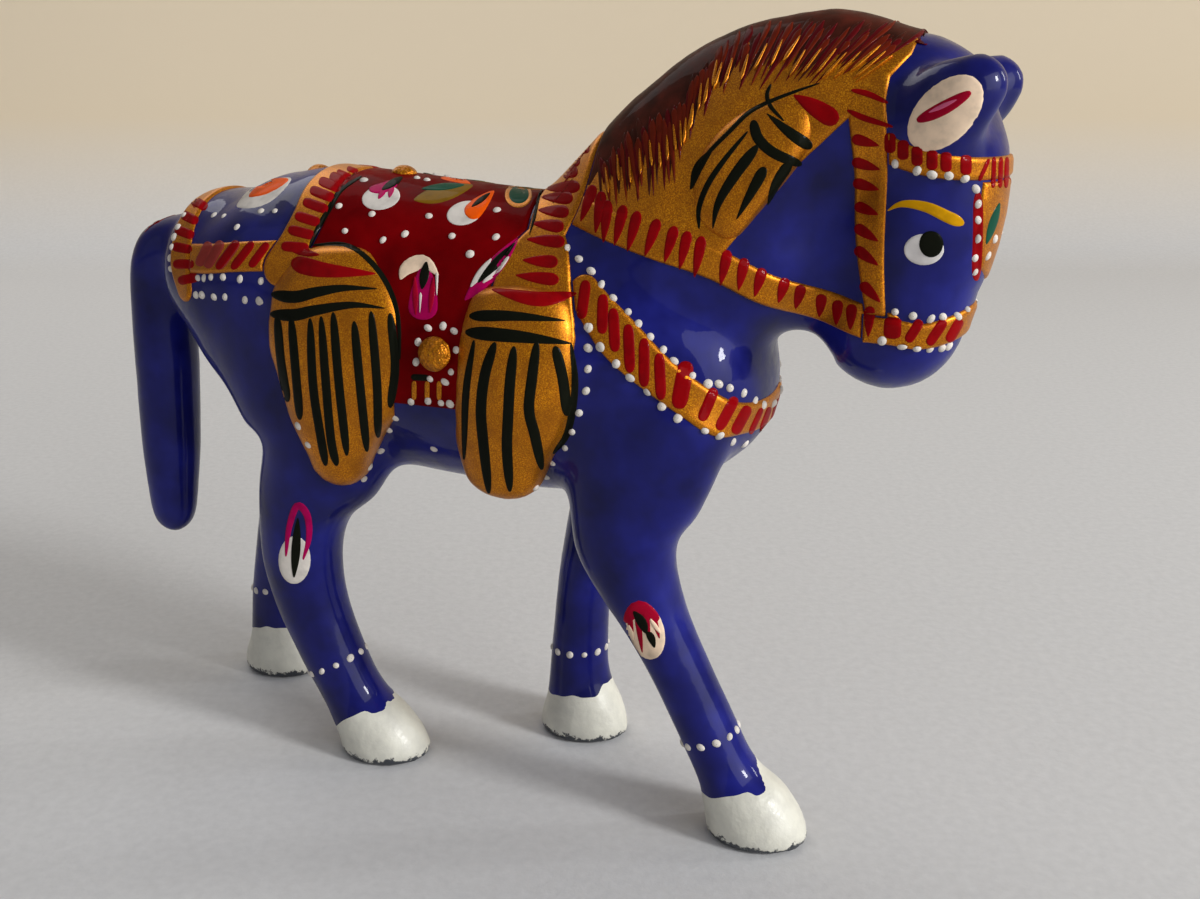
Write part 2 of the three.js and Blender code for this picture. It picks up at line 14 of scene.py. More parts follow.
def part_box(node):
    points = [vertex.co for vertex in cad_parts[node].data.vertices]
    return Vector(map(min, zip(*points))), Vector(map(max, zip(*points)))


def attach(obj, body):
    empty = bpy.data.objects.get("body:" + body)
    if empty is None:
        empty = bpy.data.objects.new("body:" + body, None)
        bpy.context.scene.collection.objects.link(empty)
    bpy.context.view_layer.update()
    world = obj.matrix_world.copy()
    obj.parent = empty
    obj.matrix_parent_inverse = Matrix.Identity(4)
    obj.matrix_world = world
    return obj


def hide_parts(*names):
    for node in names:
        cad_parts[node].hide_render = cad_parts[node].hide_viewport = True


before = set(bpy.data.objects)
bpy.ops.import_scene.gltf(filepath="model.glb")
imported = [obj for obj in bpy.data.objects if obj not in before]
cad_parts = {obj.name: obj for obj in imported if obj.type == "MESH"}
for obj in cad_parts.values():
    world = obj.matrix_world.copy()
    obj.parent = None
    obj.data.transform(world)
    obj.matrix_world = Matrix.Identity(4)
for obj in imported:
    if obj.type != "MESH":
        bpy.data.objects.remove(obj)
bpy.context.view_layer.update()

MM = 0.001
DRAWN_X = 5.373  # the side drawings start this far in front of the middle of the figure

# The photograph's frame and camera
PHOTO_WIDTH = 1200
PHOTO_HEIGHT = 899
FOCAL_PIXELS = 1300
CAMERA_PLACE = np.array([57.343, -117.340, 73.994])
CAMERA_AZIMUTH = math.radians(22)
CAMERA_PITCH = math.radians(16.7)

# Relief: the casting swells gently under its harness, which stands a little proud of it
SWELL = 0.62
SWELL_REACH = 4.5  # how far from the harness the swelling runs out
STRAP_RISE = 0.33
CLOTH_RISE = 0.23
EDGE_ROUND = 0.5  # width of a sheet's rounded edge
EDGE_SINK = 0.1  # how far an edge goes under what carries it
GROOVE = 0.1  # half the groove between two neighbours
CREST_LIFT = 0.03  # the dark crest lies this much higher than the rest of the mane
FINE_BANDS = (1.0, 0.7)  # a sheet's cells are halved this near to its edge, and once more
HALF_SEAM = 0.15  # a strap of one side starts this far from the middle plane
COLLAR_FOOT = 46.0  # height at which the saddle collar ends under its tassel

SIDES = {"right": -1, "left": 1}
FEET = ("right_fore", "left_fore", "right_hind", "left_hind")
LEG_NODES = [foot + "leg" for foot in FEET]
HOOF_NODES = [foot + "_hoof" for foot in FEET]
EAR_NODES = [side + "_ear" for side in SIDES]
BODY_NODES = [side + "_body_half" for side in SIDES]


# Surfaces as arrays of points and triangles


def arrays_of(mesh):
    """Points in millimetres and triangles of a Blender mesh."""
    mesh.calc_loop_triangles()
    points = np.zeros(len(mesh.vertices) * 3)
    mesh.vertices.foreach_get("co", points)
    faces = np.zeros(len(mesh.loop_triangles) * 3, int)
    mesh.loop_triangles.foreach_get("vertices", faces)
    return points.reshape(-1, 3) / MM, faces.reshape(-1, 3)


def node_mesh(name):
    """One CAD node, with equal points merged."""
    points, faces = arrays_of(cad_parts[name].data)
    _, first, same = np.unique(np.round(points, 4), axis=0, return_index=True, return_inverse=True)
    faces = same.ravel()[faces]
    whole = (faces[:, 0] != faces[:, 1]) & (faces[:, 1] != faces[:, 2]) & (faces[:, 2] != faces[:, 0])
    return points[first], faces[whole]


def joined(meshes):
    start = np.cumsum([0] + [len(points) for points, _ in meshes])
    points = np.concatenate([points for points, _ in meshes])
    faces = np.concatenate([faces + offset for (_, faces), offset in zip(meshes, start)])
    return points, faces


def normals_of(points, faces):
    a, b, c = (points[faces[:, i]] for i in range(3))
    cross = np.cross(b - a, c - a)
    total = np.zeros_like(points)
    for axis in range(3):
        for corner in range(3):
            total[:, axis] += np.bincount(faces[:, corner], cross[:, axis], len(points))
    return total / np.maximum(np.linalg.norm(total, axis=1, keepdims=True), 1e-12)


def sides_of(faces):
    """Each edge of a mesh once, and the number of the edge that leaves each corner of each triangle."""
    low, high = np.sort(np.stack([faces, np.roll(faces, -1, axis=1)]), axis=0)
    size = faces.max() + 1
    keys, which = np.unique(low * size + high, return_inverse=True)
    return np.stack([keys // size, keys % size], axis=1), which.reshape(faces.shape).T


def edges_of(faces):
    return sides_of(faces)[0]


def picked(chosen, *corners):
    """Triangles from three lists of corners, where they are chosen."""
    return np.stack([corner[chosen] for corner in corners], axis=1)


def blender_mesh(name, points, faces):
    mesh = bpy.data.meshes.new(name)
    mesh.from_pydata((points * MM).tolist(), [], faces.tolist())
    mesh.update()
    return mesh


def voxel_skin(points, faces, voxel):
    """One skin of even small cells over overlapping closed meshes, without what lies inside."""
    shape = bpy.data.objects.new("voxel_source", blender_mesh("voxel_source", points, faces))
    bpy.context.scene.collection.objects.link(shape)
    remesh = shape.modifiers.new("remesh", "REMESH")
    remesh.mode = "VOXEL"
    remesh.voxel_size = voxel * MM
    made = arrays_of(shape.evaluated_get(bpy.context.evaluated_depsgraph_get()).to_mesh())
    source = shape.data
    bpy.data.objects.remove(shape)
    bpy.data.meshes.remove(source)
    return outermost(*made)


def outermost(points, faces):
    """The connected part with the largest box."""
    edges = edges_of(faces)
    label = np.arange(len(points))
    while True:
        lower = label.copy()
        np.minimum.at(lower, edges[:, 0], label[edges[:, 1]])
        np.minimum.at(lower, edges[:, 1], label[edges[:, 0]])
        lower = lower[lower]
        if (lower == label).all():
            break
        label = lower
    spans = {part: np.ptp(points[label == part], axis=0).sum() for part in np.unique(label)}
    kept = max(spans, key=spans.get)
    return compact(points, faces[label[faces[:, 0]] == kept])


def compact(points, faces):
    used, renumbered = np.unique(faces, return_inverse=True)
    return points[used], renumbered.reshape(-1, 3)


def blurred(field, faces, steps):
    """Rows of numbers at the points of a mesh, averaged over neighbours that many times."""
    edges = edges_of(faces)
    ends = np.concatenate([edges, edges[:, ::-1]])
    valence = np.bincount(ends[:, 0], minlength=len(field))[:, None]
    for _ in range(steps):
        total = [np.bincount(ends[:, 0], field[ends[:, 1], axis], len(field)) for axis in range(3)]
        field = np.stack(total, axis=1) / valence
    return field


def softened(points, faces, reach, order=3):
    """Smooths away forms shorter than about twice the reach and keeps the girth of larger ones."""
    edges = edges_of(faces)
    spacing = np.linalg.norm(points[edges[:, 0]] - points[edges[:, 1]], axis=1).mean()
    steps = max(1, round(2 * (reach / spacing) ** 2))
    result = np.zeros_like(points)
    rest = points
    for _ in range(order):
        part = blurred(rest, faces, steps)
        result = result + part
        rest = rest - part
    return result


def refined(points, faces, chosen):
    """Splits the triangles with a chosen corner into smaller ones that follow the curve of the skin."""
    fullness = 0.375  # how far a new point goes out to the planes at the ends of its edge
    normals = normals_of(points, faces)
    pairs, which = sides_of(faces)
    split = chosen[pairs].any(axis=1)
    middle_index = np.full(len(pairs), -1)
    middle_index[split] = len(points) + np.arange(split.sum())
    a, b = pairs[split].T
    middle = (points[a] + points[b]) / 2
    bulge = np.zeros_like(middle)
    for end in (a, b):
        away = np.einsum("ij,ij->i", middle - points[end], normals[end])
        bulge -= away[:, None] * normals[end]
    points = np.concatenate([points, middle + fullness * bulge])
    marks = middle_index[which]
    number = (marks >= 0).sum(axis=0)
    p, q, r = faces.T
    x, y, z = marks
    made = [faces[number == 0]]
    made += [picked(number == 3, *corners) for corners in ((p, x, z), (x, q, y), (z, y, r), (x, y, z))]
    for turn in range(3):
        p, q, r = np.roll(faces.T, -turn, axis=0)
        x, y, z = np.roll(marks, -turn, axis=0)
        one = (number == 1) & (x >= 0)
        made += [picked(one, p, x, r), picked(one, x, q, r)]
        two = (number == 2) & (z < 0)
        made += [picked(two, x, q, y), picked(two, p, x, y), picked(two, p, y, r)]
    return points, np.concatenate(made)


def clipped(points, faces, field):
    """The part of a surface where the field is below zero, cut exactly along its zero line.
    Also gives the field at the points that are left."""
    inside = field < 0
    number = inside[faces].sum(axis=1)
    pairs, which = sides_of(faces)
    crossed = inside[pairs[:, 0]] != inside[pairs[:, 1]]
    a, b = pairs[crossed].T
    share = (field[a] / (field[a] - field[b]))[:, None]
    cut_index = np.full(len(pairs), -1)
    cut_index[crossed] = len(points) + np.arange(crossed.sum())
    points = np.concatenate([points, points[a] + share * (points[b] - points[a])])
    field = np.concatenate([field, np.zeros(len(a))])
    made = [faces[number == 3]]
    for turn in range(3):
        p, q, r = np.roll(faces.T, -turn, axis=0)
        x, _, z = np.roll(cut_index[which], -turn, axis=0)
        one = (number == 1) & inside[p]
        two = (number == 2) & ~inside[p]
        made += [picked(one, p, x, z), picked(two, x, q, r), picked(two, x, r, z)]
    faces = np.concatenate(made)
    used, renumbered = np.unique(faces, return_inverse=True)
    return points[used], renumbered.reshape(-1, 3), field[used]


def tree_of(points, faces):
    return BVHTree.FromPolygons(points.tolist(), faces.tolist())


# Fields over the side and front drawings: distance to an edge, below zero inside


def curve_through(rows, count):
    """Points on a smooth curve through rows of numbers."""
    rows = np.array(rows, float)
    padded = np.concatenate([2 * rows[:1] - rows[1:2], rows, 2 * rows[-1:] - rows[-2:-1]])
    place = np.linspace(0, len(rows) - 1, count)
    index = np.minimum(place.astype(int), len(rows) - 2)
    t = (place - index)[:, None]
    before, start, end, after = (padded[index + i] for i in range(4))
    return 0.5 * (
        2 * start
        + (end - before) * t
        + (2 * before - 5 * start + 4 * end - after) * t**2
        + (3 * start - before - 3 * end + after) * t**3
    )


def segment_distance(flat, start, end):
    """Distance to a straight segment, and the share of the way along it where that is."""
    way = end - start
    t = np.clip(((flat - start) @ way) / (way @ way), 0, 1)
    return np.linalg.norm(flat - start - t[:, None] * way, axis=1), t


def strap_field(flat, rows, count=40):
    """Distance to the edge of a strap whose rows give a middle line and half widths."""
    line = curve_through(rows, count)
    nearest = np.full(len(flat), np.inf)
    for start, end in zip(line[:-1], line[1:]):
        off, t = segment_distance(flat, start[:2], end[:2])
        nearest = np.minimum(nearest, off - (start[2] + t * (end[2] - start[2])))
    return nearest


def outline_field(flat, outline):
    """Signed distance to a closed outline."""
    corners = np.array(outline, float)
    nearest = np.full(len(flat), np.inf)
    inside = np.zeros(len(flat), bool)
    for start, end in zip(corners, np.roll(corners, -1, axis=0)):
        nearest = np.minimum(nearest, segment_distance(flat, start, end)[0])
        spans = (start[1] > flat[:, 1]) != (end[1] > flat[:, 1])
        run, rise = end - start
        if rise:
            inside ^= spans & (flat[:, 0] < start[0] + (flat[:, 1] - start[1]) * run / rise)
    return np.where(inside, -nearest, nearest)


def side_view(points):
    return points[:, [0, 2]] - (DRAWN_X, 0)


# Straps in the side drawing: middle line in X and Z, and half width
STRAPS = {
    "collar": [(2.2, 68.0, 3.4), (2.5, 62.5, 3.0), (2.4, 58.5, 2.1), (2.3, 55.6, 3.4), (2.5, 50.0, 4.6)],
    "rear_band": [
        (-23.2, 66.0, 1.8), (-23.0, 62.0, 1.8), (-22.6, 59.6, 1.9), (-23.1, 57.0, 1.9), (-24.3, 54.7, 1.9),
    ],
    "breast": [
        (7.4, 54.1, 1.5), (10.9, 50.3, 1.95), (14.5, 47.1, 1.75), (18.0, 44.5, 1.6), (21.0, 42.4, 1.6),
        (26.0, 41.0, 1.6),
    ],
    "crupper": [(-24.0, 55.7, 1.45), (-30.0, 55.2, 1.45), (-34.0, 54.7, 1.45), (-38.4, 54.3, 1.45)],
    "tail_ring": [
        (-39.7, 63.0, 1.3), (-39.4, 58.8, 1.4), (-39.0, 56.0, 1.6), (-38.5, 53.6, 1.7), (-37.6, 51.4, 1.4),
    ],
    "rein": [
        (3.0, 61.4, 1.3), (9.0, 59.9, 1.35), (14.0, 58.5, 1.4), (19.0, 56.9, 1.4), (25.0, 53.8, 1.5),
        (33.6, 51.8, 1.5),
    ],
    "noseband": [
        (24.0, 51.4, 1.2), (33.0, 51.6, 1.2), (36.4, 51.2, 1.2), (39.2, 51.9, 1.2), (43.0, 53.6, 1.2),
    ],
    "browband": [(31.0, 68.0, 1.2), (34.0, 66.5, 1.1), (38.0, 65.6, 1.0), (44.0, 65.3, 0.9)],
    "cheek": [
        (31.0, 70.2, 1.6), (31.4, 66.0, 1.5), (31.5, 62.0, 1.5), (31.8, 58.0, 1.3), (32.6, 53.0, 0.9),
    ],
}
HEADSTALL = ("noseband", "browband")
HEADSTALL_BACK = 31.5  # these two start here
SADDLE_OUTLINE = [
    (-23.0, 68.0), (1.0, 68.0), (2.0, 60.0), (1.0, 54.0), (-2.2, 52.0), (-4.4, 42.4), (-12.2, 42.4),
    (-12.6, 50.0), (-22.0, 56.0),
]
MANE_OUTLINE = [
    (3.0, 60.6), (11.8, 59.4), (19.6, 57.8), (25.5, 65.4), (29.5, 69.3), (30.6, 68.4), (32.9, 68.6),
    (32.5, 70.6), (32.6, 72.6), (34.0, 74.4), (35.4, 82.0), (3.0, 82.0),
]
CREST_OUTLINE = [
    (3.0, 62.0), (7.7, 63.7), (9.9, 65.8), (14.1, 67.6), (15.2, 69.5), (16.6, 72.3), (17.9, 74.1),
    (21.4, 75.1), (36.0, 74.9), (36.0, 83.0), (3.0, 83.0),
]
CREST_WAVES = ((0.3, 2.1), (0.25, 5.3))  # depth and pace of the crest's ragged edge
MANE_EDGE = MANE_OUTLINE[2], MANE_OUTLINE[3]  # where the gold of the neck stops before the cheek
PLATE_HALF = [(4.8, 65.4), (5.0, 62.9), (4.7, 59.8), (3.1, 57.0)]  # in the front drawing, from the top
PLATE_POINT = (0, 55.6)
PLATE_OUTLINE = [*PLATE_HALF, PLATE_POINT, *[(-y, z) for y, z in reversed(PLATE_HALF)]]
PLATE_BACK = 41.0  # the plate lies in front of this


def strap_at(points, name):
    flat = side_view(points)
    field = strap_field(flat, STRAPS[name])
    return np.maximum(field, HEADSTALL_BACK - flat[:, 0]) if name in HEADSTALL else field


# Materials


class Nodes:
    """A material's node tree, filled in a few words."""

    def __init__(self, name):
        self.material = bpy.data.materials.new(name)
        self.material.use_nodes = True
        self.tree = self.material.node_tree
        self.shader = self.tree.nodes["Principled BSDF"]
        self.place = self.add("ShaderNodeTexCoord").outputs["Object"]

    def add(self, kind, **values):
        node = self.tree.nodes.new(kind)
        for key, value in values.items():
            setattr(node, key, value)
        return node

    def link(self, source, target):
        self.tree.links.new(source, target)

    def feed(self, socket, source):
        self.link(source, self.shader.inputs[socket])

    def height(self):
        node = self.add("ShaderNodeSeparateXYZ")
        self.link(self.place, node.inputs["Vector"])
        return node.outputs["Z"]

    def noise(self, cell, detail=3.0, roughness=0.55):
        """Noise with cells of that size in millimetres."""
        node = self.add("ShaderNodeTexNoise")
        node.inputs["Scale"].default_value = 1 / (cell * MM)
        node.inputs["Detail"].default_value = detail
        node.inputs["Roughness"].default_value = roughness
        self.link(self.place, node.inputs["Vector"])
        return node.outputs["Fac"]

    def ramp(self, value, *stops):
        node = self.add("ShaderNodeValToRGB")
        elements = node.color_ramp.elements
        while len(elements) < len(stops):
            elements.new(0.5)
        for element, (position, color) in zip(elements, stops):
            element.position = position
            element.color = (*color, 1)
        self.link(value, node.inputs["Fac"])
        return node.outputs["Color"]

    def span(self, value, low, high, to_low, to_high):
        node = self.add("ShaderNodeMapRange")
        for key, number in (("From Min", low), ("From Max", high), ("To Min", to_low), ("To Max", to_high)):
            node.inputs[key].default_value = number
        self.link(value, node.inputs["Value"])
        return node.outputs["Result"]

    def mixed(self, share, first, second):
        node = self.add("ShaderNodeMix", data_type="RGBA")
        for source, target in ((share, 0), (first, 6), (second, 7)):
            if isinstance(source, tuple):
                node.inputs[target].default_value = (*source, 1)
            else:
                self.link(source, node.inputs[target])
        return node.outputs[2]

    def bump(self, height, depth, strength=1.0):
        node = self.add("ShaderNodeBump")
        node.inputs["Strength"].default_value = strength
        node.inputs["Distance"].default_value = depth * MM
        self.link(height, node.inputs["Height"])
        for socket in ("Normal", "Coat Normal"):
            self.feed(socket, node.outputs["Normal"])

    def set(self, **values):
        for key, value in values.items():
            self.shader.inputs[key.replace("_", " ")].default_value = value


def srgb(*screen):
    """A colour read on screen, as the shader takes it."""
    shares = [value / 255 for value in screen]
    return tuple(v / 12.92 if v <= 0.04045 else ((v + 0.055) / 1.055) ** 2.4 for v in shares)


def enamel(name, dark, main, light, cell=6.0, lacquer=0.5):
    """Brushed enamel under clear lacquer."""
    nodes = Nodes(name)
    nodes.feed("Base Color", nodes.ramp(nodes.noise(cell), (0.3, dark), (0.5, main), (0.72, light)))
    nodes.feed("Roughness", nodes.span(nodes.noise(cell / 4), 0.3, 0.7, 0.3, 0.5))
    nodes.set(Specular_IOR_Level=0.13 * lacquer, Coat_Weight=lacquer, Coat_Roughness=0.04, Coat_IOR=1.4)
    nodes.bump(nodes.noise(1.6, 2.0), 0.02)
    return nodes.material


def gold_paint(name, granule=0.0):
    """Gold paint full of fine flakes; granule is the height of coarse grains in it."""
    nodes = Nodes(name)
    grain = nodes.noise(0.12, 2.0, 0.7)
    patches = nodes.noise(2.6)
    shadow, body, glint = srgb(154, 83, 1), srgb(203, 121, 3), srgb(240, 168, 18)
    flakes = nodes.ramp(grain, (0.34, shadow), (0.52, body), (0.68, glint))
    worn = nodes.span(patches, 0.35, 0.7, 0.0, 0.6)
    nodes.feed("Base Color", nodes.mixed(worn, flakes, srgb(150, 86, 3)))
    nodes.feed("Roughness", nodes.span(grain, 0.3, 0.7, 0.3, 0.5))
    nodes.set(Metallic=0.75, Coat_Weight=0.06, Coat_Roughness=0.08, Coat_IOR=1.4)
    nodes.bump(nodes.noise(0.5, 2.0) if granule else grain, granule or 0.012)
    return nodes.material


def hoof_paint(name):
    """White paint, thick and uneven, going over into ragged dark grey along the sole."""
    nodes = Nodes(name)
    add = nodes.add("ShaderNodeMath", operation="ADD")
    nodes.link(nodes.span(nodes.height(), 0.0, 2.2 * MM, 0.42, -0.2), add.inputs[0])
    nodes.link(nodes.noise(1.3, 6.0, 0.75), add.inputs[1])
    # dark grey in ragged patches within about 2 mm of the sole, denser towards the bottom
    dark_sole_band = nodes.ramp(add.outputs["Value"], (0.66, (0, 0, 0)), (0.7, (1, 1, 1)))
    white = nodes.ramp(nodes.noise(2.2), (0.3, srgb(203, 201, 189)), (0.6, srgb(219, 217, 203)))
    nodes.feed("Base Color", nodes.mixed(dark_sole_band, white, srgb(48, 52, 58)))
    nodes.set(Roughness=0.5, Coat_Weight=0.35, Coat_Roughness=0.25)
    nodes.bump(nodes.noise(1.6, 4.0), 0.14)
    return nodes.material


BLUE = enamel("blue_enamel", srgb(13, 15, 74), srgb(19, 22, 99), srgb(27, 32, 125))
RED = enamel("red_enamel", srgb(84, 0, 3), srgb(106, 1, 4), srgb(124, 2, 6), 6.0, 0.04)
CREST_PAINT = enamel("crest_paint", srgb(52, 22, 15), srgb(70, 29, 20), srgb(90, 34, 24), 2.0, 0.1)
GOLD = gold_paint("gold_paint")
GRANULES = gold_paint("granular_gold", 0.35)
MANE = gold_paint("mane_paint")
WHITE_HOOF = hoof_paint("hoof_paint")
EYE_WHITE = enamel("eye_white", srgb(200, 195, 192), srgb(214, 209, 206), srgb(224, 220, 217), 2.0)


# Pieces
surfaces = []  # what has been made so far, to be painted on


def piece(name, points, faces, material, nodes=(), slot=None, normals=None):
    surfaces.append((points, faces))
    shape = bpy.data.objects.new(name, blender_mesh(name, points, faces))
    shape.data.shade_smooth()
    if normals is not None:
        shape.data.normals_split_custom_set_from_vertices(normals.tolist())
    shape.data.materials.append(material)
    bpy.context.scene.collection.objects.link(shape)
    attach(shape, "root")
    if nodes:
        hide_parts(*nodes)


# Fields of the raised sheets


def beside(points, *names):
    """How far inside the groove round some straps the points lie."""
    return np.max([GROOVE - strap_at(points, name) for name in names], axis=0)


def collar_field(points):
    return np.maximum(strap_at(points, "collar"), COLLAR_FOOT - points[:, 2])


def cloth_field(points):
    outline = outline_field(side_view(points), SADDLE_OUTLINE)
    return np.maximum(outline, beside(points, "collar", "rear_band"))


def mane_field(points):
    outline = outline_field(side_view(points), MANE_OUTLINE)
    return np.maximum(outline, beside(points, "collar"))


def crest_field(points):
    """The dark top of the mane, with a ragged lower edge."""
    ragged = sum(depth * np.sin(pace * points[:, 0]) for depth, pace in CREST_WAVES)
    return np.maximum(mane_field(points), outline_field(side_view(points), CREST_OUTLINE) + ragged)


def plate_field(points):
    outline = outline_field(points[:, [1, 2]], PLATE_OUTLINE)
    inside = np.maximum(outline, PLATE_BACK - points[:, 0])
    return np.maximum(inside, beside(points, "browband"))


def strap(name, *neighbours, sign=0):
    """The field of a strap, cut off by its neighbours and, with a sign, at the middle plane."""

    def field(points):
        fields = [strap_at(points, name), *(GROOVE - strap_at(points, other) for other in neighbours)]
        if sign:
            fields.append(HALF_SEAM - sign * points[:, 1])
        return np.max(fields, axis=0)

    return field


GOLD_STRAP = (STRAP_RISE, GOLD, "gold_paint")
SHEETS = {
    "saddle_collar": (collar_field, *GOLD_STRAP),
    "saddle_rear_band": (strap("rear_band"), *GOLD_STRAP),
    "breast_collar": (strap("breast", "collar"), *GOLD_STRAP),
    "tail_ring": (strap("tail_ring"), *GOLD_STRAP),
    "noseband": (strap("noseband"), *GOLD_STRAP),
    "browband": (strap("browband", "cheek"), *GOLD_STRAP),
    "saddle_cloth": (cloth_field, CLOTH_RISE, RED, "red_enamel"),
    "mane": (mane_field, CLOTH_RISE, MANE, "mane_paint"),
    "forehead_plate": (plate_field, CLOTH_RISE, GOLD, "gold_paint"),
}
for side, sign in SIDES.items():
    SHEETS[side + "_cheek_strap"] = (strap("cheek", "noseband", sign=sign), *GOLD_STRAP)
    SHEETS[side + "_rein"] = (strap("rein", "collar", "cheek", "noseband", sign=sign), *GOLD_STRAP)
    SHEETS[side + "_crupper_strap"] = (strap("crupper", "rear_band", "tail_ring", sign=sign), *GOLD_STRAP)

# The enamelled body: one continuous skin over castings that meet with thin solder films
FILM = 0.2
VOXEL = 0.4
SOFT_REACH = 2.2  # smoothing of the body
FIRM_REACH = 0.9  # smoothing of the hooves, which keep their rims
FIRM_TOP = 2.5  # the skin is firm up to this height
FIRM_FADE = 5  # and goes over into the soft form over this height
SHADE_STEPS = 6  # how often the shading is averaged over its neighbours


def swollen(name, by):
    points, faces = node_mesh(name)
    return points + by * normals_of(points, faces), faces


skin_nodes = BODY_NODES + LEG_NODES + HOOF_NODES + EAR_NODES + ["tail"]
skin_points, skin_faces = voxel_skin(*joined([swollen(name, FILM) for name in skin_nodes]), VOXEL)
soft = softened(skin_points, skin_faces, SOFT_REACH)
firm = softened(skin_points, skin_faces, FIRM_REACH)
firmness = 1 - np.clip((skin_points[:, 2:] - FIRM_TOP) / FIRM_FADE, 0, 1)
skin_points = soft + firmness * (firm - soft)
skin_points = skin_points - FILM * normals_of(skin_points, skin_faces)
harness = np.min([field(skin_points) for field, *_ in SHEETS.values()], axis=0)
nearness = np.clip(1 - harness / SWELL_REACH, 0, 1)
swell = SWELL * nearness**2 * (3 - 2 * nearness)
skin_points = skin_points + swell[:, None] * normals_of(skin_points, skin_faces)
skin_points[:, 2] = np.maximum(skin_points[:, 2], 0)
skin_normals = blurred(normals_of(skin_points, skin_faces), skin_faces, SHADE_STEPS)


def distance_to(nodes):
    """Distance from the skin's points to some CAD nodes, where they are near."""
    points, faces = joined([node_mesh(name) for name in nodes])
    tree = tree_of(points, faces)
    margin = 4.0
    low, high = points.min(axis=0) - margin, points.max(axis=0) + margin
    near = ((skin_points > low) & (skin_points < high)).all(axis=1)
    distance = np.full(len(skin_points), 2 * margin)
    distance[near] = [tree.find_nearest(Vector(point))[3] for point in skin_points[near]]
    return distance


castings = {"body": BODY_NODES, "tail": ["tail"], **{name: [name] for name in EAR_NODES}}
castings.update({foot: [foot + "leg", foot + "_hoof"] for foot in FEET})
nearest_casting = {name: distance_to(nodes) for name, nodes in castings.items()}


def casting_field(name):
    others = np.min([d for other, d in nearest_casting.items() if other != name], axis=0)
    return nearest_casting[name] - others


def skin_part(name, field, nodes, material=BLUE, slot="blue_enamel"):
    """A part of the skin as its own piece, shaded as the whole skin is, so that no seam shows."""
    both = np.hstack([skin_points, skin_normals])
    cut, faces, _ = clipped(both, skin_faces, field)
    normals = cut[:, 3:] / np.linalg.norm(cut[:, 3:], axis=1, keepdims=True)
    piece(name, cut[:, :3], faces, material, nodes, slot, normals)


# White paint on each hoof: its height on the right, at the back, and how much higher it is in front
HOOF_PAINT = {
    "right_fore": (5.9, 4.2, 1.8),
    "left_fore": (5.5, 4.6, 0.9),
    "right_hind": (5.8, 2.2, 0.4),
    "left_hind": (6.5, 5.2, 0.4),
}
PEAK_TURN = -0.4  # angle from the front at which the higher part starts to fall off to the right
PEAK_FALL = 0.3
WAVES = ((0.1, 5), (0.06, 11))  # height and number of the waves in the paint's edge


def hoof_field(foot):
    """Height over the edge of the white paint."""
    right_height, back_height, peak = HOOF_PAINT[foot]
    low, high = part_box(foot + "_hoof")
    middle = (np.array(low) + np.array(high)) / 2 / MM
    angle = np.arctan2(skin_points[:, 1] - middle[1], skin_points[:, 0] - middle[0])
    back = np.clip(-np.cos(angle), 0, 1) ** 2
    (large, few), (small, many) = WAVES
    wobble = large * np.sin(few * angle + len(foot)) + small * np.sin(many * angle)
    height = right_height + (back_height - right_height) * back + wobble
    return skin_points[:, 2] - height - peak * np.exp(-((np.minimum(angle - PEAK_TURN, 0) / PEAK_FALL) ** 2))


skin_part("body_shell", casting_field("body"), BODY_NODES)
skin_part("tail", casting_field("tail"), ["tail"])
for name in EAR_NODES:
    skin_part(name, casting_field(name), [name])
for foot in FEET:
    leg, hoof = casting_field(foot), hoof_field(foot)
    skin_part(foot + "leg", np.maximum(leg, -hoof), [foot + "leg"])
    skin_part(foot + "_hoof", np.maximum(leg, hoof), [foot + "_hoof"], WHITE_HOOF, "white_enamel")


def rounded_edge(depth, rise):
    """Height of a raised sheet at a distance in from its edge."""
    t = np.clip(depth / EDGE_ROUND, 0, 1)
    return -EDGE_SINK + (rise + EDGE_SINK) * np.sqrt(1 - (1 - t) ** 2)


def raised(name, field_at, rise, material, nodes, slot):
    """A sheet raised from the skin where the field is below zero, with rounded edges and a closed back."""
    field = field_at(skin_points)
    near = (field[skin_faces] < FINE_BANDS[0]).any(axis=1)
    points, faces = compact(skin_points, skin_faces[near])
    for band in FINE_BANDS:
        points, faces = refined(points, faces, np.abs(field_at(points)) < band)
    points, faces, field = clipped(points, faces, field_at(points))
    normals = normals_of(points, faces)
    top = points + rounded_edge(-field, rise)[:, None] * normals
    back = points - 2 * EDGE_SINK * normals
    _, which = sides_of(faces)
    _, first, times = np.unique(which, return_index=True, return_counts=True)
    border = first[times == 1]
    a, b = faces.T.ravel()[border], np.roll(faces.T, -1, axis=0).ravel()[border]
    count = len(points)
    walls = np.concatenate([np.stack((b, a, a + count), 1), np.stack((b, a + count, b + count), 1)])
    faces = np.concatenate([faces, faces[:, ::-1] + count, walls])
    piece(name, np.concatenate([top, back]), faces, material, nodes, slot)


for name, (field, rise, material, slot) in SHEETS.items():
    raised(name, field, rise, material, [name], slot)
raised("mane_crest", crest_field, CLOTH_RISE + CREST_LIFT, CREST_PAINT, [], None)

# Tassels and studs: rounded lumps that go on into the body
SINK_IN = 1.2
TASSEL_MESH = (0.3, 1.0)  # size of the cells and reach of the smoothing
STUD_MESH = (0.16, 0.45)
RIDGE_SUNK = 0.5  # the studs on the ridge sit this much deeper than in the CAD


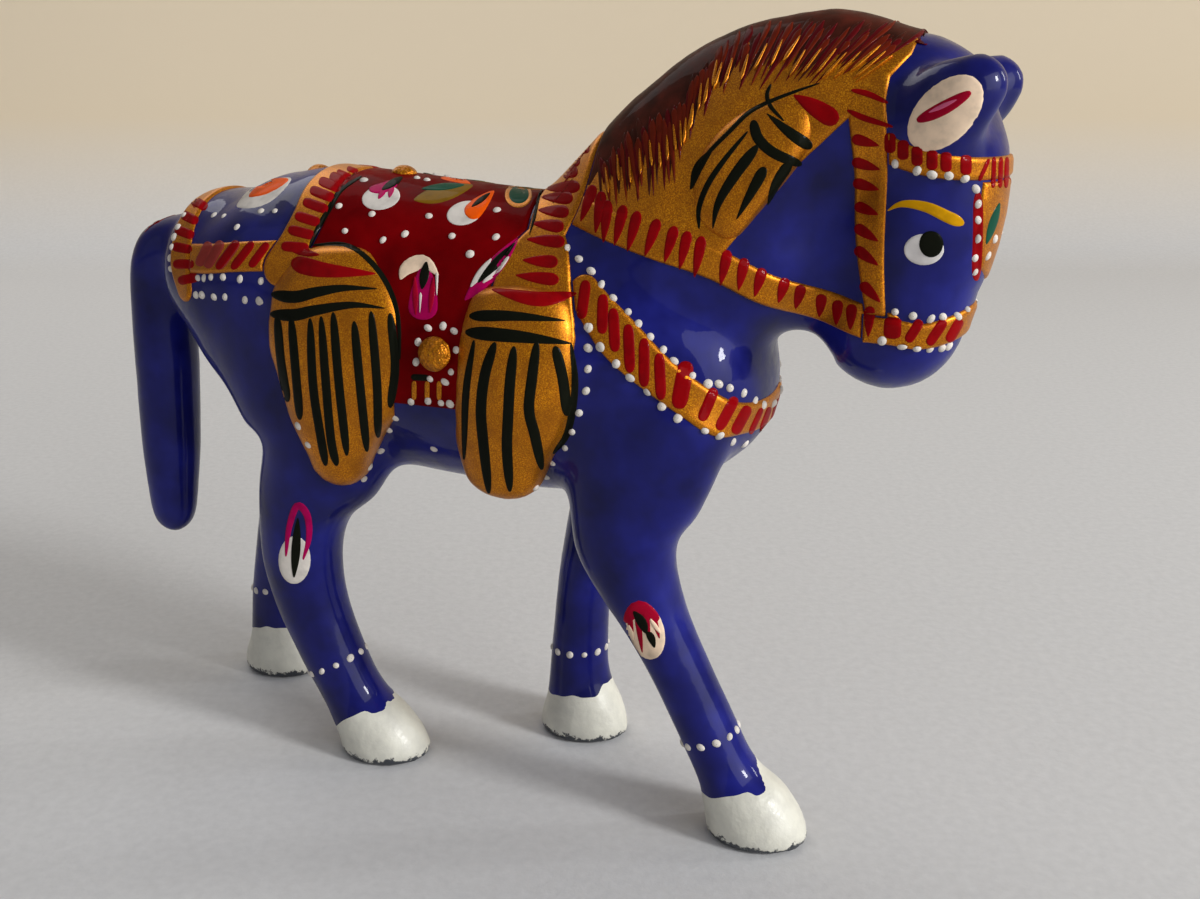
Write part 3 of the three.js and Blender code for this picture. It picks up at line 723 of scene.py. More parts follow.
def lump(name, inward, voxel, reach, material, edge=None, sunk=0.0):
    """A CAD lump made smooth. An edge, two points in the side drawing, cuts off what lies beyond it."""
    points, faces = node_mesh(name)
    points = points + sunk * np.array(inward)
    if edge:
        start, end = np.array(edge)
        across = np.array([end[1] - start[1], start[0] - end[0]]) / np.linalg.norm(end - start)
        beyond = np.maximum((side_view(points) - start) @ across, 0)
        points[:, [0, 2]] -= beyond[:, None] * across
    deeper = points + SINK_IN * np.array(inward)
    points, faces = voxel_skin(*joined([(points, faces), (deeper, faces)]), voxel)
    piece(name, softened(points, faces, reach), faces, material, [name], "gold_paint")


for side, sign in SIDES.items():
    for place, edge in (("neck", MANE_EDGE), ("shoulder", None), ("flank", None)):
        lump(f"{side}_{place}_tassel", (0, -sign, 0), *TASSEL_MESH, GOLD, edge)
    lump(f"{side}_saddle_boss", (0, -sign, 0), *STUD_MESH, GRANULES)
for place in ("fore", "rear"):
    lump(f"{place}_ridge_boss", (0, 0, -1), *STUD_MESH, GRANULES, sunk=RIDGE_SUNK)


# Painted ornament: strokes and drops of enamel laid on the finished surfaces
PAINT_RISE = 0.05
PAINT_SINK = 0.03
LAYER = 0.03  # a further layer of a motif lies this much higher
JUMP = 7.0  # a stroke stays on one form and does not leap further than this
OVER_MIDDLE = 0.4  # paint of one side that lies further than this over the middle plane is left out
ASIDE = 80  # the side drawing is laid on from this far to the right
FIGURE_DEPTH = 200  # no ray needs to go further
CELL_LENGTH = 0.35  # of a stroke, in half widths
CELLS_ALONG = (15, 40)  # fewest and most cells along a stroke
CELLS_ACROSS = (7, 13)  # rows of points across a narrow and a wide stroke
WIDE_STROKE = 12  # half width, in pixels, from which a stroke is wide
DROP_OVAL = (0.75, 1.12)  # least and most radius of an uneven drop
DROP_HEIGHT = 0.6  # in radii
DROP_SIDES = 12
DROP_LEVELS = (90, 60, 30, 4)  # degrees from the top
SLANT = (0.36, 0.48, 0.8)  # a direction that no drop faces
RANDOM = np.random.default_rng(11)
BOTH = tuple(SIDES)

ground = tree_of(*joined(surfaces))
LOOK_RIGHT = np.array([math.cos(CAMERA_AZIMUTH), math.sin(CAMERA_AZIMUTH), 0])
LEVEL_AHEAD = np.array([-LOOK_RIGHT[1], LOOK_RIGHT[0], 0])
LOOK_AHEAD = math.cos(CAMERA_PITCH) * LEVEL_AHEAD - math.sin(CAMERA_PITCH) * np.array([0, 0, 1])
LOOK_UP = np.cross(LOOK_RIGHT, LOOK_AHEAD)


def photo_ray(u, v):
    """From the camera through a pixel of the photograph."""
    across, upward = (u - PHOTO_WIDTH / 2) / FOCAL_PIXELS, (PHOTO_HEIGHT / 2 - v) / FOCAL_PIXELS
    way = LOOK_AHEAD + across * LOOK_RIGHT + upward * LOOK_UP
    return CAMERA_PLACE, way / np.linalg.norm(way)


def side_ray(x, z):
    """From the figure's right, square on, through a place in the side drawing."""
    return np.array([x + DRAWN_X, -ASIDE, z]), np.array([0, 1, 0])


def passing_depth(start, way):
    """How far along a ray that misses the figure it passes closest to it."""
    return min(range(1, FIGURE_DEPTH), key=lambda depth: ground.find_nearest(start + depth * way)[3])


def laid(rays, mirrored=False):
    """Points of the figure, and its normals there, met by the rays or by their mirror images."""
    flip = np.array([1, -1 if mirrored else 1, 1])
    rays = [(Vector(start * flip), Vector(way * flip)) for start, way in rays]
    hits = [ground.ray_cast(start, way) for start, way in rays]
    depths = [hit[3] for hit in hits if hit[0]] or [passing_depth(*rays[len(rays) // 2])]
    depth = float(np.median(depths))
    for index, (start, way) in enumerate(rays):
        if not hits[index][0] or abs(hits[index][3] - depth) > JUMP:
            hits[index] = ground.find_nearest(start + depth * way)
    return np.array([hit[0] for hit in hits]), np.array([hit[1] for hit in hits])


def drop_width(t):
    head = 0.2  # share of the length that the round head takes
    blunt = np.sqrt(1 - (1 - np.minimum(t / head, 1)) ** 2)
    return blunt * (1 - np.clip((t - head) / (1 - head), 0, 1) ** 2)


# Width of a stroke along its length
PROFILES = {
    "bar": lambda t: np.sqrt(1 - np.abs(2 * t - 1) ** 6),
    "oval": lambda t: np.sqrt(1 - (2 * t - 1) ** 2),
    "brush": lambda t: np.sin(np.pi * t) ** 0.4,
    "leaf": lambda t: np.sin(np.pi * t) ** 0.8,
    "drop": drop_width,
    "wisp": lambda t: np.minimum(1, 6 * t) * (1 - t) ** 0.7,
}


def stroke(curve, half, profile, layer, view, mirrored):
    """A flat brush stroke along a curve drawn in a view; half is half its width."""
    tip = 0.02  # share of the width that is left at a pointed end
    length = np.linalg.norm(np.diff(np.array(curve, float), axis=0), axis=1).sum()
    count = int(np.clip(length / (CELL_LENGTH * half), *CELLS_ALONG))
    along = (1 - np.cos(np.linspace(0, math.pi, count))) / 2
    even = curve_through(curve, 4 * count)
    steps = np.linspace(0, 1, 4 * count)
    line = np.stack([np.interp(along, steps, even[:, axis]) for axis in range(2)], axis=1)
    way = np.gradient(line, axis=0)
    across = np.stack([-way[:, 1], way[:, 0]], axis=1) / np.linalg.norm(way, axis=1, keepdims=True)
    share = np.maximum(PROFILES[profile](along), tip)
    place = np.sin(np.linspace(-math.pi / 2, math.pi / 2, CELLS_ACROSS[half >= WIDE_STROKE]))
    flat = line[:, None] + across[:, None] * (half * share)[:, None, None] * place[None, :, None]
    points, normals = laid([view(*spot) for spot in flat.reshape(-1, 2)], mirrored)
    body = np.sqrt(np.maximum(1 - place**8, 0))[None] * np.minimum(1, 4 * share)[:, None]
    body[[0, -1]] = 0
    height = body * (PAINT_RISE + PAINT_SINK + layer * LAYER) - PAINT_SINK
    points = points + height.reshape(-1, 1) * normals
    return facing(points, grid_faces(count, len(place)), normals)


def grid_faces(rows, columns):
    index = np.arange(rows * columns).reshape(rows, columns)
    a, b, c, d = (part.ravel() for part in (index[:-1, :-1], index[1:, :-1], index[1:, 1:], index[:-1, 1:]))
    return np.concatenate([np.stack((a, b, c), axis=1), np.stack((a, c, d), axis=1)])


def facing(points, faces, normals):
    """The mesh with its faces turned to the side the normals point to."""
    inward = (normals_of(points, faces) * normals).sum() < 0
    return points, faces[:, ::-1] if inward else faces


def drop(point, normal, radius):
    """A raised round drop, a little uneven."""
    side = np.cross(normal, SLANT)
    side /= np.linalg.norm(side)
    other = np.cross(normal, side)
    long_way, short_way = RANDOM.uniform(*DROP_OVAL, 2)
    turns = np.linspace(0, 2 * math.pi, DROP_SIDES, endpoint=False)
    rows = []
    for level in np.radians(DROP_LEVELS):
        ring = long_way * np.cos(turns)[:, None] * side + short_way * np.sin(turns)[:, None] * other
        height = DROP_HEIGHT * radius * math.cos(level) - PAINT_SINK
        rows.append(point + radius * math.sin(level) * ring + height * normal)
    points = np.concatenate([np.concatenate([row, row[:1]]) for row in rows])
    return facing(points, grid_faces(len(rows), len(turns) + 1), np.tile(normal, (len(points), 1)))


def paint_colour(name, red, green, blue):
    """Brush enamel, a little uneven in tone."""
    tones = [srgb(red * tone, green * tone, blue * tone) for tone in (0.9, 1, 1.05)]
    return enamel(name + "_paint", *tones, cell=1.5, lacquer=0.1)


BRUSH_COLOURS = {
    "red": (136, 4, 10),
    "crimson": (158, 6, 40),
    "black": (18, 20, 12),
    "white": (216, 209, 200),
    "cream": (240, 213, 184),
    "magenta": (172, 4, 82),
    "orange": (236, 88, 6),
    "green": (22, 74, 56),
    "olive": (124, 90, 18),
    "yellow": (208, 150, 8),
    "maroon": (88, 12, 16),
    "russet": (104, 30, 13),
    # the pink below is a painted highlight, laid on the ear's crimson slit
    "pink": (206, 96, 132),
    "rose": (142, 52, 46),
}
COLOURS = {name: paint_colour(name, *colour) for name, colour in BRUSH_COLOURS.items()}
COLOURS.update(brown=CREST_PAINT, gold=GOLD)
SLOTS = {"red": "red_enamel", "white": "white_enamel", "gold": "gold_paint"}
coats = {}  # strokes and drops laid so far, by ornament and colour


def lay(name, colour, mesh):
    coats.setdefault((name, colour), []).append(mesh)


def paint(ornament, *rows, view=photo_ray, sides=BOTH):
    """Strokes of one ornament: rows of colour, profile, half width, layer and curves drawn in a view."""
    for colour, profile, half, layer, *curves in rows:
        for curve in curves:
            for side in sides:
                points, faces = stroke(curve, half, profile, layer, view, side == "left")
                if SIDES[side] * points[:, 1].mean() > -OVER_MIDDLE:
                    lay(f"{side}_{ornament}", colour, (points, faces))


def dots(ornament, radius, places):
    """Raised white drops with a radius in millimetres, at pixels of the photograph."""
    for place in places:
        for side in BOTH:
            (point,), (normal,) = laid([photo_ray(*place)], side == "left")
            if SIDES[side] * point[1] > -OVER_MIDDLE:
                lay(f"{side}_{ornament}", "white", drop(point, normal, radius))


# Head, in pixels of the photograph
paint(
    "ear",
    ("cream", "oval", 29, 0, [(913, 146), (978, 80)]),
    ("crimson", "brush", 7.5, 1, [(917, 121), (942, 109), (971, 92)]),
    # painted highlight: a pink stroke along the middle of the crimson slit
    ("pink", "leaf", 2.5, 2, [(928, 113), (958, 99)]),
)
BROW_BARS = [(890, 143), (903, 150), (917, 156), (932, 160), (946, 162), (966, 165)]
BROW_BAR_HALF = 10
paint(
    "browband",
    ("red", "bar", 6.2, 0, *[[(u, v - BROW_BAR_HALF), (u, v + BROW_BAR_HALF)] for u, v in BROW_BARS]),
)
dots("browband", 0.43, [(895, 164), (917, 171), (932, 175), (949, 176), (965, 179)])
paint(
    "forehead",
    ("red", "bar", 5.5, 0, [(978, 192), (978, 235), (976, 281)]),
    ("red", "bar", 2.2, 0, [(989, 159), (979, 181)]),
    ("red", "bar", 2.5, 0, *[[(u, 157), (u - 1, 188)] for u in (994, 1001, 1007)]),
    ("green", "leaf", 4.5, 0, [(1000, 202), (986, 245)]),
)
dots("forehead", 0.43, [(976, 189), (978, 204), (978, 220), (977, 239), (975, 258), (975, 272)])
dots("forehead", 0.4, [(995, 239), (988, 256)])
paint("eyebrow", ("yellow", "drop", 6.5, 0, [(964, 224), (948, 217), (926, 207), (902, 204), (885, 212)]))
paint("pupil", ("black", "oval", 12.8, 3, [(931, 231), (931, 257)]))
CHEEK_WEDGES = [
    [(852, 138), (880, 146)], [(852, 161), (881, 170)], [(853, 182), (880, 190)], [(855, 205), (879, 215)],
    [(855, 226), (879, 242)], [(855, 248), (879, 266)], [(861, 283), (881, 303)],
]
CHEEK_LINES = [[(851, 90), (868, 94), (888, 103)], [(847, 110), (864, 118), (893, 127)]]
paint("cheek", ("red", "drop", 6, 0, *CHEEK_WEDGES), ("red", "brush", 3.4, 0, *CHEEK_LINES))
NOSE_BARS = [[(921, 320), (907, 342)], [(945, 320), (928, 345)], [(961, 319), (948, 342)]]
paint("noseband", ("red", "bar", 9.5, 0, [(893, 317), (892, 339)]), ("red", "bar", 5.5, 0, *NOSE_BARS))
dots("noseband", 0.43, [(895, 312), (913, 316), (931, 319), (943, 317), (958, 316), (967, 309)])
dots("noseband", 0.43, [(882, 341), (902, 347), (917, 349), (930, 349), (942, 348), (949, 346)])

# Neck
REIN_DROPS = [
    [(594, 185), (580, 223)], [(602, 191), (595, 235)], [(608, 200), (603, 244)], [(624, 205), (614, 247)],
    [(638, 211), (627, 253)], [(658, 219), (644, 258)], [(675, 226), (664, 264)], [(688, 231), (679, 271)],
    [(702, 236), (694, 279)], [(728, 250), (720, 287)], [(745, 258), (738, 292)], [(763, 268), (754, 298)],
    [(786, 278), (778, 304)], [(802, 285), (795, 310)], [(822, 294), (819, 318)], [(838, 300), (836, 326)],
    [(852, 304), (850, 331)], [(870, 306), (868, 338)],
]
paint("rein", ("red", "drop", 6, 0, *REIN_DROPS))
NECK_STRIPES = [
    [(758, 145), (735, 175), (718, 204), (712, 232)],
    [(765, 167), (752, 191), (735, 222)],
    [(791, 161), (776, 184), (767, 207)],
]
NECK_OUTLINES = [
    [(820, 83), (791, 93), (764, 104), (747, 114), (730, 131), (711, 150), (695, 170), (690, 190)],
    [(771, 84), (767, 95), (771, 107), (784, 121)],
]
paint(
    "neck_tassel",
    ("black", "drop", 6.5, 0, [(812, 148), (789, 132), (765, 112)]),
    ("black", "bar", 5.8, 0, [(753, 120), (758, 138), (774, 153), (802, 165)]),
    ("black", "drop", 6, 0, *NECK_STRIPES),
    ("black", "brush", 3.2, 0, [(748, 131), (725, 159), (708, 184), (699, 208), (699, 229)]),
    ("black", "brush", 2.4, 0, *NECK_OUTLINES),
    ("black", "leaf", 5, 0, [(713, 148), (698, 168), (691, 190)]),
    ("red", "drop", 10.5, 0, [(838, 122), (814, 107), (792, 94)]),
)

# Saddle collar and breast collar
COLLAR_DROPS = [
    [(589, 146), (572, 151)], [(580, 160), (555, 163)], [(578, 171), (549, 173)], [(580, 186), (544, 189)],
    [(573, 198), (540, 197)], [(569, 212), (537, 210)], [(564, 227), (531, 223)], [(565, 242), (525, 239)],
    [(558, 262), (521, 260)], [(559, 280), (514, 275)],
]
paint(
    "collar",
    ("red", "drop", 7, 0, *COLLAR_DROPS),
    ("red", "leaf", 8, 0, [(578, 293), (538, 299), (490, 289)]),
    # painted shade: a thin dark line in the crease along the collar's rear edge
    ("black", "leaf", 1.6, 0, [(557, 163), (541, 191), (534, 219), (529, 236)]),
)
BREAST_BARS = [
    [(586, 280), (581, 319)], [(603, 294), (602, 334)], [(613, 308), (615, 352)], [(628, 324), (630, 373)],
    [(644, 338), (644, 387)], [(659, 353), (661, 400)], [(715, 388), (701, 421)], [(736, 397), (718, 430)],
    [(749, 406), (734, 434)],
]
paint(
    "breast",
    ("red", "bar", 6, 0, *BREAST_BARS),
    ("red", "bar", 3, 0, [(762, 408), (750, 434)], [(770, 407), (761, 431)]),
    ("red", "bar", 9, 0, [(687, 361), (678, 409)]),
)
UPPER_BREAST_DOTS = [
    (568, 248), (579, 259), (591, 271), (601, 285), (613, 298), (628, 312), (638, 324), (650, 337),
    (663, 350), (674, 361), (692, 376), (708, 384), (719, 384), (730, 388), (744, 393), (755, 401),
    (764, 405), (773, 404),
]
LOWER_BREAST_DOTS = [
    (589, 328), (600, 347), (616, 364), (630, 378), (647, 392), (662, 406), (678, 418), (705, 431),
    (720, 436), (733, 442), (745, 444), (754, 442),
]
dots("breast", 0.45, UPPER_BREAST_DOTS + LOWER_BREAST_DOTS)

# Shoulder tassel
SHOULDER_STRIPES = [
    [(495, 342), (485, 374), (481, 408), (483, 440), (489, 494)],
    [(514, 346), (510, 382), (508, 418), (507, 450), (510, 492)],
    [(537, 341), (532, 378), (529, 410), (535, 436), (542, 470)],
    [(555, 346), (563, 380), (567, 416)],
]
SHOULDER_EDGES = [
    [(474, 340), (466, 392), (464, 460)],
    [(571, 343), (575, 385), (568, 431), (553, 454)],
]
paint(
    "shoulder_tassel",
    ("black", "drop", 6.2, 0, [(469, 316), (512, 316), (570, 321)]),
    ("black", "drop", 7.5, 0, [(465, 332), (522, 337), (576, 344)]),
    ("black", "bar", 5.8, 0, *SHOULDER_STRIPES),
    ("black", "brush", 4, 0, *SHOULDER_EDGES),
)
SHOULDER_DOTS = [
    (587, 327), (588, 348), (588, 369), (586, 391), (579, 413), (572, 432), (565, 448), (552, 463),
    (546, 477), (536, 488),
]
dots("shoulder", 0.42, SHOULDER_DOTS)

# Flank tassel
FLANK_BANDS = [
    [(271, 294), (294, 297), (317, 292), (345, 288), (383, 289)],
    [(270, 314), (294, 315), (317, 310), (353, 305), (391, 309)],
]
FLANK_STRIPES = [
    [(277, 315), (281, 362), (288, 402)],
    [(291, 317), (296, 376), (300, 420)],
    [(310, 318), (313, 385), (320, 433), (326, 466)],
    [(321, 316), (326, 385), (331, 440), (337, 466)],
    [(333, 312), (339, 385), (347, 456)],
    [(354, 321), (360, 385), (367, 452)],
    [(371, 311), (377, 385), (378, 438)],
    [(390, 313), (395, 365), (390, 408)],
]
FLANK_OUTLINE = [(312, 245), (346, 245), (371, 262), (389, 288), (398, 318), (400, 360)]
paint(
    "flank_tassel",
    ("red", "drop", 9.5, 0, [(291, 262), (324, 270), (380, 274)]),
    ("red", "leaf", 4, 0, [(289, 250), (320, 255)]),
    ("black", "drop", 6.6, 0, *FLANK_BANDS),
    ("black", "bar", 4.8, 0, *FLANK_STRIPES),
    ("black", "brush", 3, 0, FLANK_OUTLINE),
)
FLANK_DOTS = [
    (261, 281), (259, 301), (298, 426), (308, 445), (395, 418), (389, 430), (381, 451), (370, 467),
    (364, 479), (434, 449),
]
dots("flank", 0.43, FLANK_DOTS)

# Saddle cloth
paint(
    "saddle",
    ("white", "oval", 12.5, 0, [(362, 201), (400, 194)]),
    ("magenta", "brush", 6, 1, [(369, 190), (384, 188), (398, 181)]),
    ("magenta", "drop", 3.5, 1, [(384, 190), (378, 200)], [(392, 187), (389, 199)]),
    ("black", "leaf", 4.2, 2, [(381, 191), (403, 177)]),
    ("olive", "leaf", 9, 0, [(413, 200), (440, 194), (474, 185)]),
    ("green", "leaf", 4, 1, [(421, 189), (466, 185)]),
    ("white", "oval", 12, 0, [(447, 218), (482, 208)]),
    ("orange", "drop", 9.5, 1, [(467, 217), (480, 204), (495, 190)]),
    ("black", "leaf", 3, 2, [(471, 208), (491, 193)]),
    ("gold", "oval", 13, 0, [(505, 196), (532, 194)]),
    ("green", "oval", 10, 1, [(509, 196), (529, 194)]),
    ("magenta", "drop", 15, 0, [(422, 320), (424, 290), (425, 258)]),
    ("cream", "leaf", 8, 1, [(400, 280), (407, 268), (424, 262), (439, 276)]),
    ("crimson", "leaf", 3, 2, [(415, 276), (416, 316)], [(434, 276), (430, 314)]),
    ("white", "wisp", 1.6, 2, [(421, 292), (420, 314)], [(437, 272), (437, 296)]),
    ("black", "leaf", 5, 3, [(427, 261), (422, 290)]),
    ("magenta", "leaf", 9, 0, [(464, 301), (490, 272), (519, 237)]),
    ("white", "leaf", 4, 1, [(482, 284), (510, 256)], [(470, 288), (492, 258)]),
    ("black", "leaf", 5, 2, [(477, 284), (516, 242)]),
    ("black", "bar", 3.5, 0, [(411, 377), (429, 378)]),
)
paint("ridge", ("orange", "leaf", 3.5, 0, [(440, 178), (457, 179), (471, 184)]), sides=["right"])
SADDLE_DOTS = [
    (364, 180), (339, 206), (345, 231), (372, 214), (383, 240), (405, 234), (429, 216), (452, 236),
    (417, 178), (427, 180), (497, 210), (496, 237), (470, 254),
]
BOSS_DOTS = [
    (428, 328), (443, 326), (454, 331), (418, 342), (416, 362), (430, 379), (445, 382), (456, 350),
    (451, 372),
]
FRINGE_DOTS = [(411, 402), (428, 401), (441, 403), (450, 404)]
dots("saddle", 0.42, SADDLE_DOTS + BOSS_DOTS + FRINGE_DOTS)
paint("fringe", ("gold", "bar", 2.6, 0, *[[(u, 381), (u, 400)] for u in (414, 427, 439)]))

# Rear band, rump and tail
REAR_BARS = [
    [(330, 175), (347, 183)], [(319, 180), (341, 189)], [(310, 189), (335, 199)], [(303, 201), (328, 210)],
    [(295, 215), (320, 223)], [(288, 229), (315, 236)], [(281, 246), (309, 248)],
]
paint(
    "rear_band",
    ("red", "bar", 5.6, 0, *REAR_BARS),
    ("red", "bar", 3, 0, [(337, 171), (351, 177)], [(347, 168), (358, 172)]),
    ("black", "brush", 3, 0, [(362, 176), (341, 190), (329, 209), (317, 230), (309, 248)]),
)
paint(
    "rump",
    ("white", "leaf", 11.5, 0, [(236, 207), (262, 194), (292, 178)]),
    ("orange", "leaf", 7, 1, [(248, 197), (268, 187), (290, 179)]),
)
dots("rump", 0.36, [(261, 211), (275, 211), (237, 227), (214, 215), (224, 216)])
CRUPPER_BARS = [
    [(198, 266), (210, 242)], [(206, 268), (222, 241)], [(217, 269), (238, 241)], [(232, 269), (253, 242)],
    [(250, 267), (268, 243)],
]
paint("crupper", ("rose", "bar", 5.5, 0, *CRUPPER_BARS[:3]), ("red", "bar", 4.5, 1, *CRUPPER_BARS[2:]))
CRUPPER_DOTS = [
    (198, 278), (204, 278), (211, 277), (223, 277), (240, 279), (261, 281),
    (196, 295), (202, 295), (214, 297), (225, 297), (245, 300), (260, 301),
]
dots("crupper", 0.42, CRUPPER_DOTS)
RING_BARS = [
    [(190, 198), (207, 208)], [(180, 213), (198, 222)], [(175, 229), (194, 236)], [(172, 246), (192, 250)],
    [(173, 264), (194, 264)], [(178, 281), (198, 277)],
]
paint("tail_ring", ("red", "bar", 5.2, 0, *RING_BARS))
dots("tail_ring", 0.45, [(184, 215), (178, 227), (174, 237), (172, 247), (170, 258), (171, 269)])
paint("tail", ("red", "leaf", 4, 0, [(139, 229), (175, 209)]), sides=["right"])

# Petals on the near legs as photographed, and on the far legs, in the side drawing, at the same height
HIND_ARCH = [(286, 557), (289, 528), (297, 506), (307, 515), (309, 537), (303, 560)]
paint(
    "hind_petal",
    ("white", "oval", 16.5, 0, [(295, 536), (294, 584)]),
    ("magenta", "brush", 3.8, 1, HIND_ARCH),
    ("black", "leaf", 5, 2, [(298, 517), (296, 549), (294, 579)]),
    sides=["right"],
)
FORE_STREAKS = [
    [(629, 612), (633, 640)], [(637, 614), (643, 655)], [(652, 612), (660, 640)], [(645, 612), (650, 636)],
]
paint(
    "fore_petal",
    ("cream", "oval", 19, 0, [(637, 602), (654, 659)]),
    ("crimson", "brush", 8, 1, [(625, 622), (639, 608), (659, 620)]),
    ("crimson", "drop", 3.4, 1, *FORE_STREAKS),
    ("black", "leaf", 5.5, 2, [(633, 610), (642, 622), (647, 634)]),
    ("black", "leaf", 4.2, 2, [(646, 631), (651, 637), (655, 648)]),
    ("cream", "leaf", 2.2, 3, [(650, 618), (661, 634)], [(629, 624), (634, 640)]),
    sides=["right"],
)
paint(
    "hind_petal",
    ("magenta", "leaf", 1.5, 0, [(-35.0, 30.5), (-35.6, 25.5)]),
    ("white", "oval", 1.7, 1, [(-35.4, 27.5), (-36.0, 23.0)]),
    ("black", "leaf", 0.45, 2, [(-35.2, 29.5), (-35.9, 23.5)]),
    view=side_ray,
    sides=["left"],
)
paint(
    "fore_petal",
    ("cream", "oval", 1.9, 0, [(1.6, 27.0), (0.6, 21.4)]),
    ("crimson", "oval", 1.2, 1, [(0.2, 25.8), (2.8, 25.4)]),
    ("black", "oval", 0.4, 2, [(1.2, 25.6), (1.0, 24.4)], [(0.8, 23.6), (0.6, 22.4)]),
    view=side_ray,
    sides=["left"],
)

# A ring of drops round each ankle: its middle in the side drawing (X, Y and Z) and its lean
ANKLES = {
    "right_fore": (18.9, -6.5, 10.1, 0.36),
    "left_fore": (-0.7, 7.2, 10.4, 0.05),
    "right_hind": (-24.4, -6.1, 10.1, 0.5),
    "left_hind": (-41.5, 7.6, 11.4, 0.15),
}
ANKLE_DROPS = 12
ANKLE_DROP_RADIUS = 0.42
ANKLE_CLEAR = 6.5  # the drops are laid from this far out
for foot, (x, y, z, lean) in ANKLES.items():
    for turn in np.linspace(0, 2 * math.pi, ANKLE_DROPS, endpoint=False):
        outward = np.array([math.cos(turn), math.sin(turn), lean * math.cos(turn)])
        outward /= np.linalg.norm(outward)
        start = np.array([x + DRAWN_X, y, z]) + ANKLE_CLEAR * outward
        (point,), (normal,) = laid([(start, -outward)])
        lay(f"{foot}_ankle", "white", drop(point, normal, ANKLE_DROP_RADIUS))

# Mane: hair brushed down from the dark crest over the gold, in pixels of the photograph
HAIR_LINE = [
    (600, 176), (628, 152), (653, 141), (672, 131), (687, 110), (706, 78), (725, 58), (764, 46),
    (798, 46), (834, 48), (868, 48), (894, 52),
]
HAIRS = 110
HAIR_COLOURS = ("brown", "maroon", "russet")
HAIR_ABOVE = (6, 30)  # how far a hair starts above the line
HAIR_BELOW = (8, 64)  # how far it reaches below it
HAIR_HALF = (2.4, 4.6)
HAIR_STRAY = 0.08  # how far its lean strays
GLINT_EVERY = 4  # one hair in so many has a gold one beside it
GLINT_SHIFT = (-12, 4)
GLINT_HALF = (1.4, 2.4)
for index, (u, v) in enumerate(curve_through(HAIR_LINE, HAIRS)):
    share = index / (HAIRS - 1)
    lean = 0.1 - 1.5 * share**2.2 + RANDOM.uniform(-HAIR_STRAY, HAIR_STRAY)
    above, below = RANDOM.uniform(*HAIR_ABOVE), RANDOM.uniform(*HAIR_BELOW) * (1 - 0.6 * share**3)
    hair = [(u + lean * way, v + way) for way in (-above, (below - above) / 2, below)]
    paint("mane", (HAIR_COLOURS[index % 3], "wisp", RANDOM.uniform(*HAIR_HALF), index % 3, hair))
    if index % GLINT_EVERY == 1:
        shift = RANDOM.uniform(*GLINT_SHIFT)
        glint = [(u + 4 + lean * way, v + way) for way in (28 + shift, 8 + shift, shift)]
        paint("mane", ("gold", "wisp", RANDOM.uniform(*GLINT_HALF), 4, glint))

for (name, colour), meshes in coats.items():
    piece(f"{name}_{colour}", *joined(meshes), COLOURS[colour], (), SLOTS.get(colour))

EYE_LINE = [(904, 250), (944, 249)]
EYE_HALF = 16
for side in SIDES:
    white = stroke(EYE_LINE, EYE_HALF, "oval", 1, photo_ray, side == "left")
    piece(f"{side}_eye", *white, EYE_WHITE, [f"{side}_eye"], "white_enamel")


# Floor, backdrop, light and camera
FLOOR_FRONT = -1500
FLOOR_BACK = 340  # from here the floor curves up into the wall
FLOOR_CURVE = 160
CURVE_STEPS = 12
WALL_TOP = 1400
HALF_FLOOR = 2500
WALL_TINT = (4 * MM, 50 * MM)  # heights between which the floor's colour goes over into the wall's


def sweep(name, material):
    """A floor that curves up into a backdrop behind the figure."""
    profile = [(FLOOR_FRONT, 0), (FLOOR_BACK, 0)]
    for step in range(1, CURVE_STEPS + 1):
        turn = math.radians(90 * step / CURVE_STEPS)
        profile.append((FLOOR_BACK + FLOOR_CURVE * math.sin(turn), FLOOR_CURVE * (1 - math.cos(turn))))
    profile.append((FLOOR_BACK + FLOOR_CURVE, WALL_TOP))
    points = [(x, y, z) for y, z in profile for x in (-HALF_FLOOR, HALF_FLOOR)]
    faces = [(2 * i, 2 * i + 1, 2 * i + 3, 2 * i + 2) for i in range(len(profile) - 1)]
    mesh = bpy.data.meshes.new(name)
    mesh.from_pydata([[value * MM for value in point] for point in points], [], faces)
    mesh.shade_smooth()
    mesh.materials.append(material)
    shape = bpy.data.objects.new(name, mesh)
    shape.rotation_euler = (0, 0, CAMERA_AZIMUTH)
    bpy.context.scene.collection.objects.link(shape)


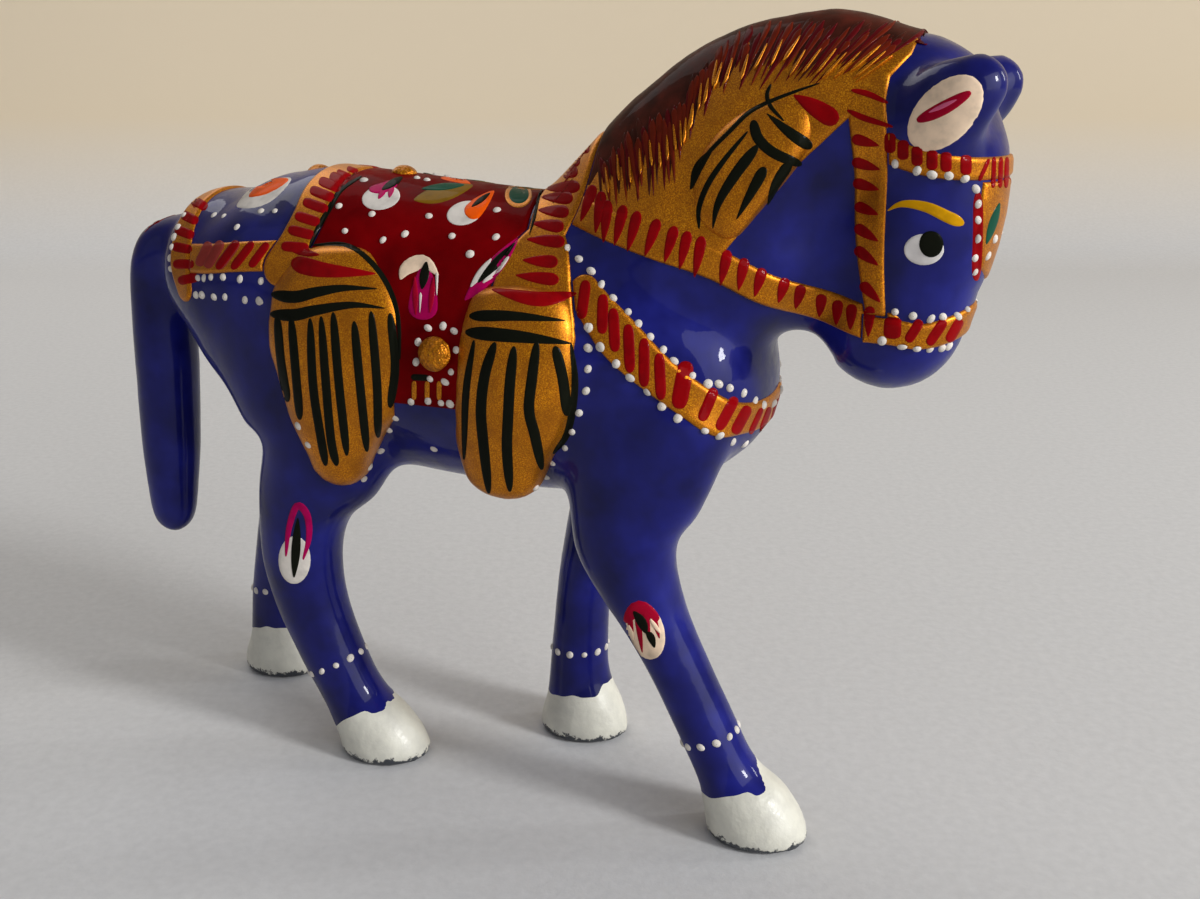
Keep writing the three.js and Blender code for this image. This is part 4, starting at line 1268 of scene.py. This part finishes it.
def paper(name):
    nodes = Nodes(name)
    floor = nodes.ramp(nodes.noise(1.2, 4.0), (0.3, srgb(203, 203, 203)), (0.7, srgb(211, 211, 211)))
    wall = nodes.span(nodes.height(), *WALL_TINT, 0, 1)
    nodes.feed("Base Color", nodes.mixed(wall, floor, srgb(214, 199, 174)))
    nodes.set(Roughness=0.9, Specular_IOR_Level=0.2)
    nodes.bump(nodes.noise(0.7, 4.0), 0.05, 0.6)
    return nodes.material


def softbox(name, place, target, size, power):
    light = bpy.data.lights.new(name, "AREA")
    light.shape = "RECTANGLE"
    light.size, light.size_y = size[0] * MM, size[1] * MM
    light.energy = power
    lamp = bpy.data.objects.new(name, light)
    lamp.location = Vector(place) * MM
    lamp.rotation_euler = (Vector(target) - Vector(place)).to_track_quat("-Z", "Y").to_euler()
    bpy.context.scene.collection.objects.link(lamp)


sweep("floor", paper("paper"))
FIGURE_MIDDLE = (0, 0, 40)
softbox("key_light", (960, -150, 460), FIGURE_MIDDLE, (170, 230), 6.2)
softbox("window_light", (1056, -352, 418), FIGURE_MIDDLE, (1100, 900), 6.5)
softbox("fill_light", (-300, -460, 330), FIGURE_MIDDLE, (700, 600), 0.2)
softbox("rim_light", (430, 260, 240), FIGURE_MIDDLE, (40, 160), 0.35)
softbox("floor_light", (-320, 200, 420), (-250, 120, 0), (300, 300), 0.6)

world = bpy.data.worlds.new("studio")
world.use_nodes = True
background = world.node_tree.nodes["Background"]
background.inputs["Color"].default_value = (0.9, 0.92, 1.0, 1)
background.inputs["Strength"].default_value = 0.2
bpy.context.scene.world = world

camera_data = bpy.data.cameras.new("camera")
camera_data.sensor_width = 36
camera_data.lens = camera_data.sensor_width * FOCAL_PIXELS / PHOTO_WIDTH
camera_data.clip_start = 0.005
camera = bpy.data.objects.new("camera", camera_data)
camera.location = Vector(CAMERA_PLACE) * MM
camera.rotation_euler = (math.pi / 2 - CAMERA_PITCH, 0, CAMERA_AZIMUTH)
bpy.context.scene.collection.objects.link(camera)
bpy.context.scene.camera = camera
bpy.context.scene.view_settings.view_transform = "Standard"
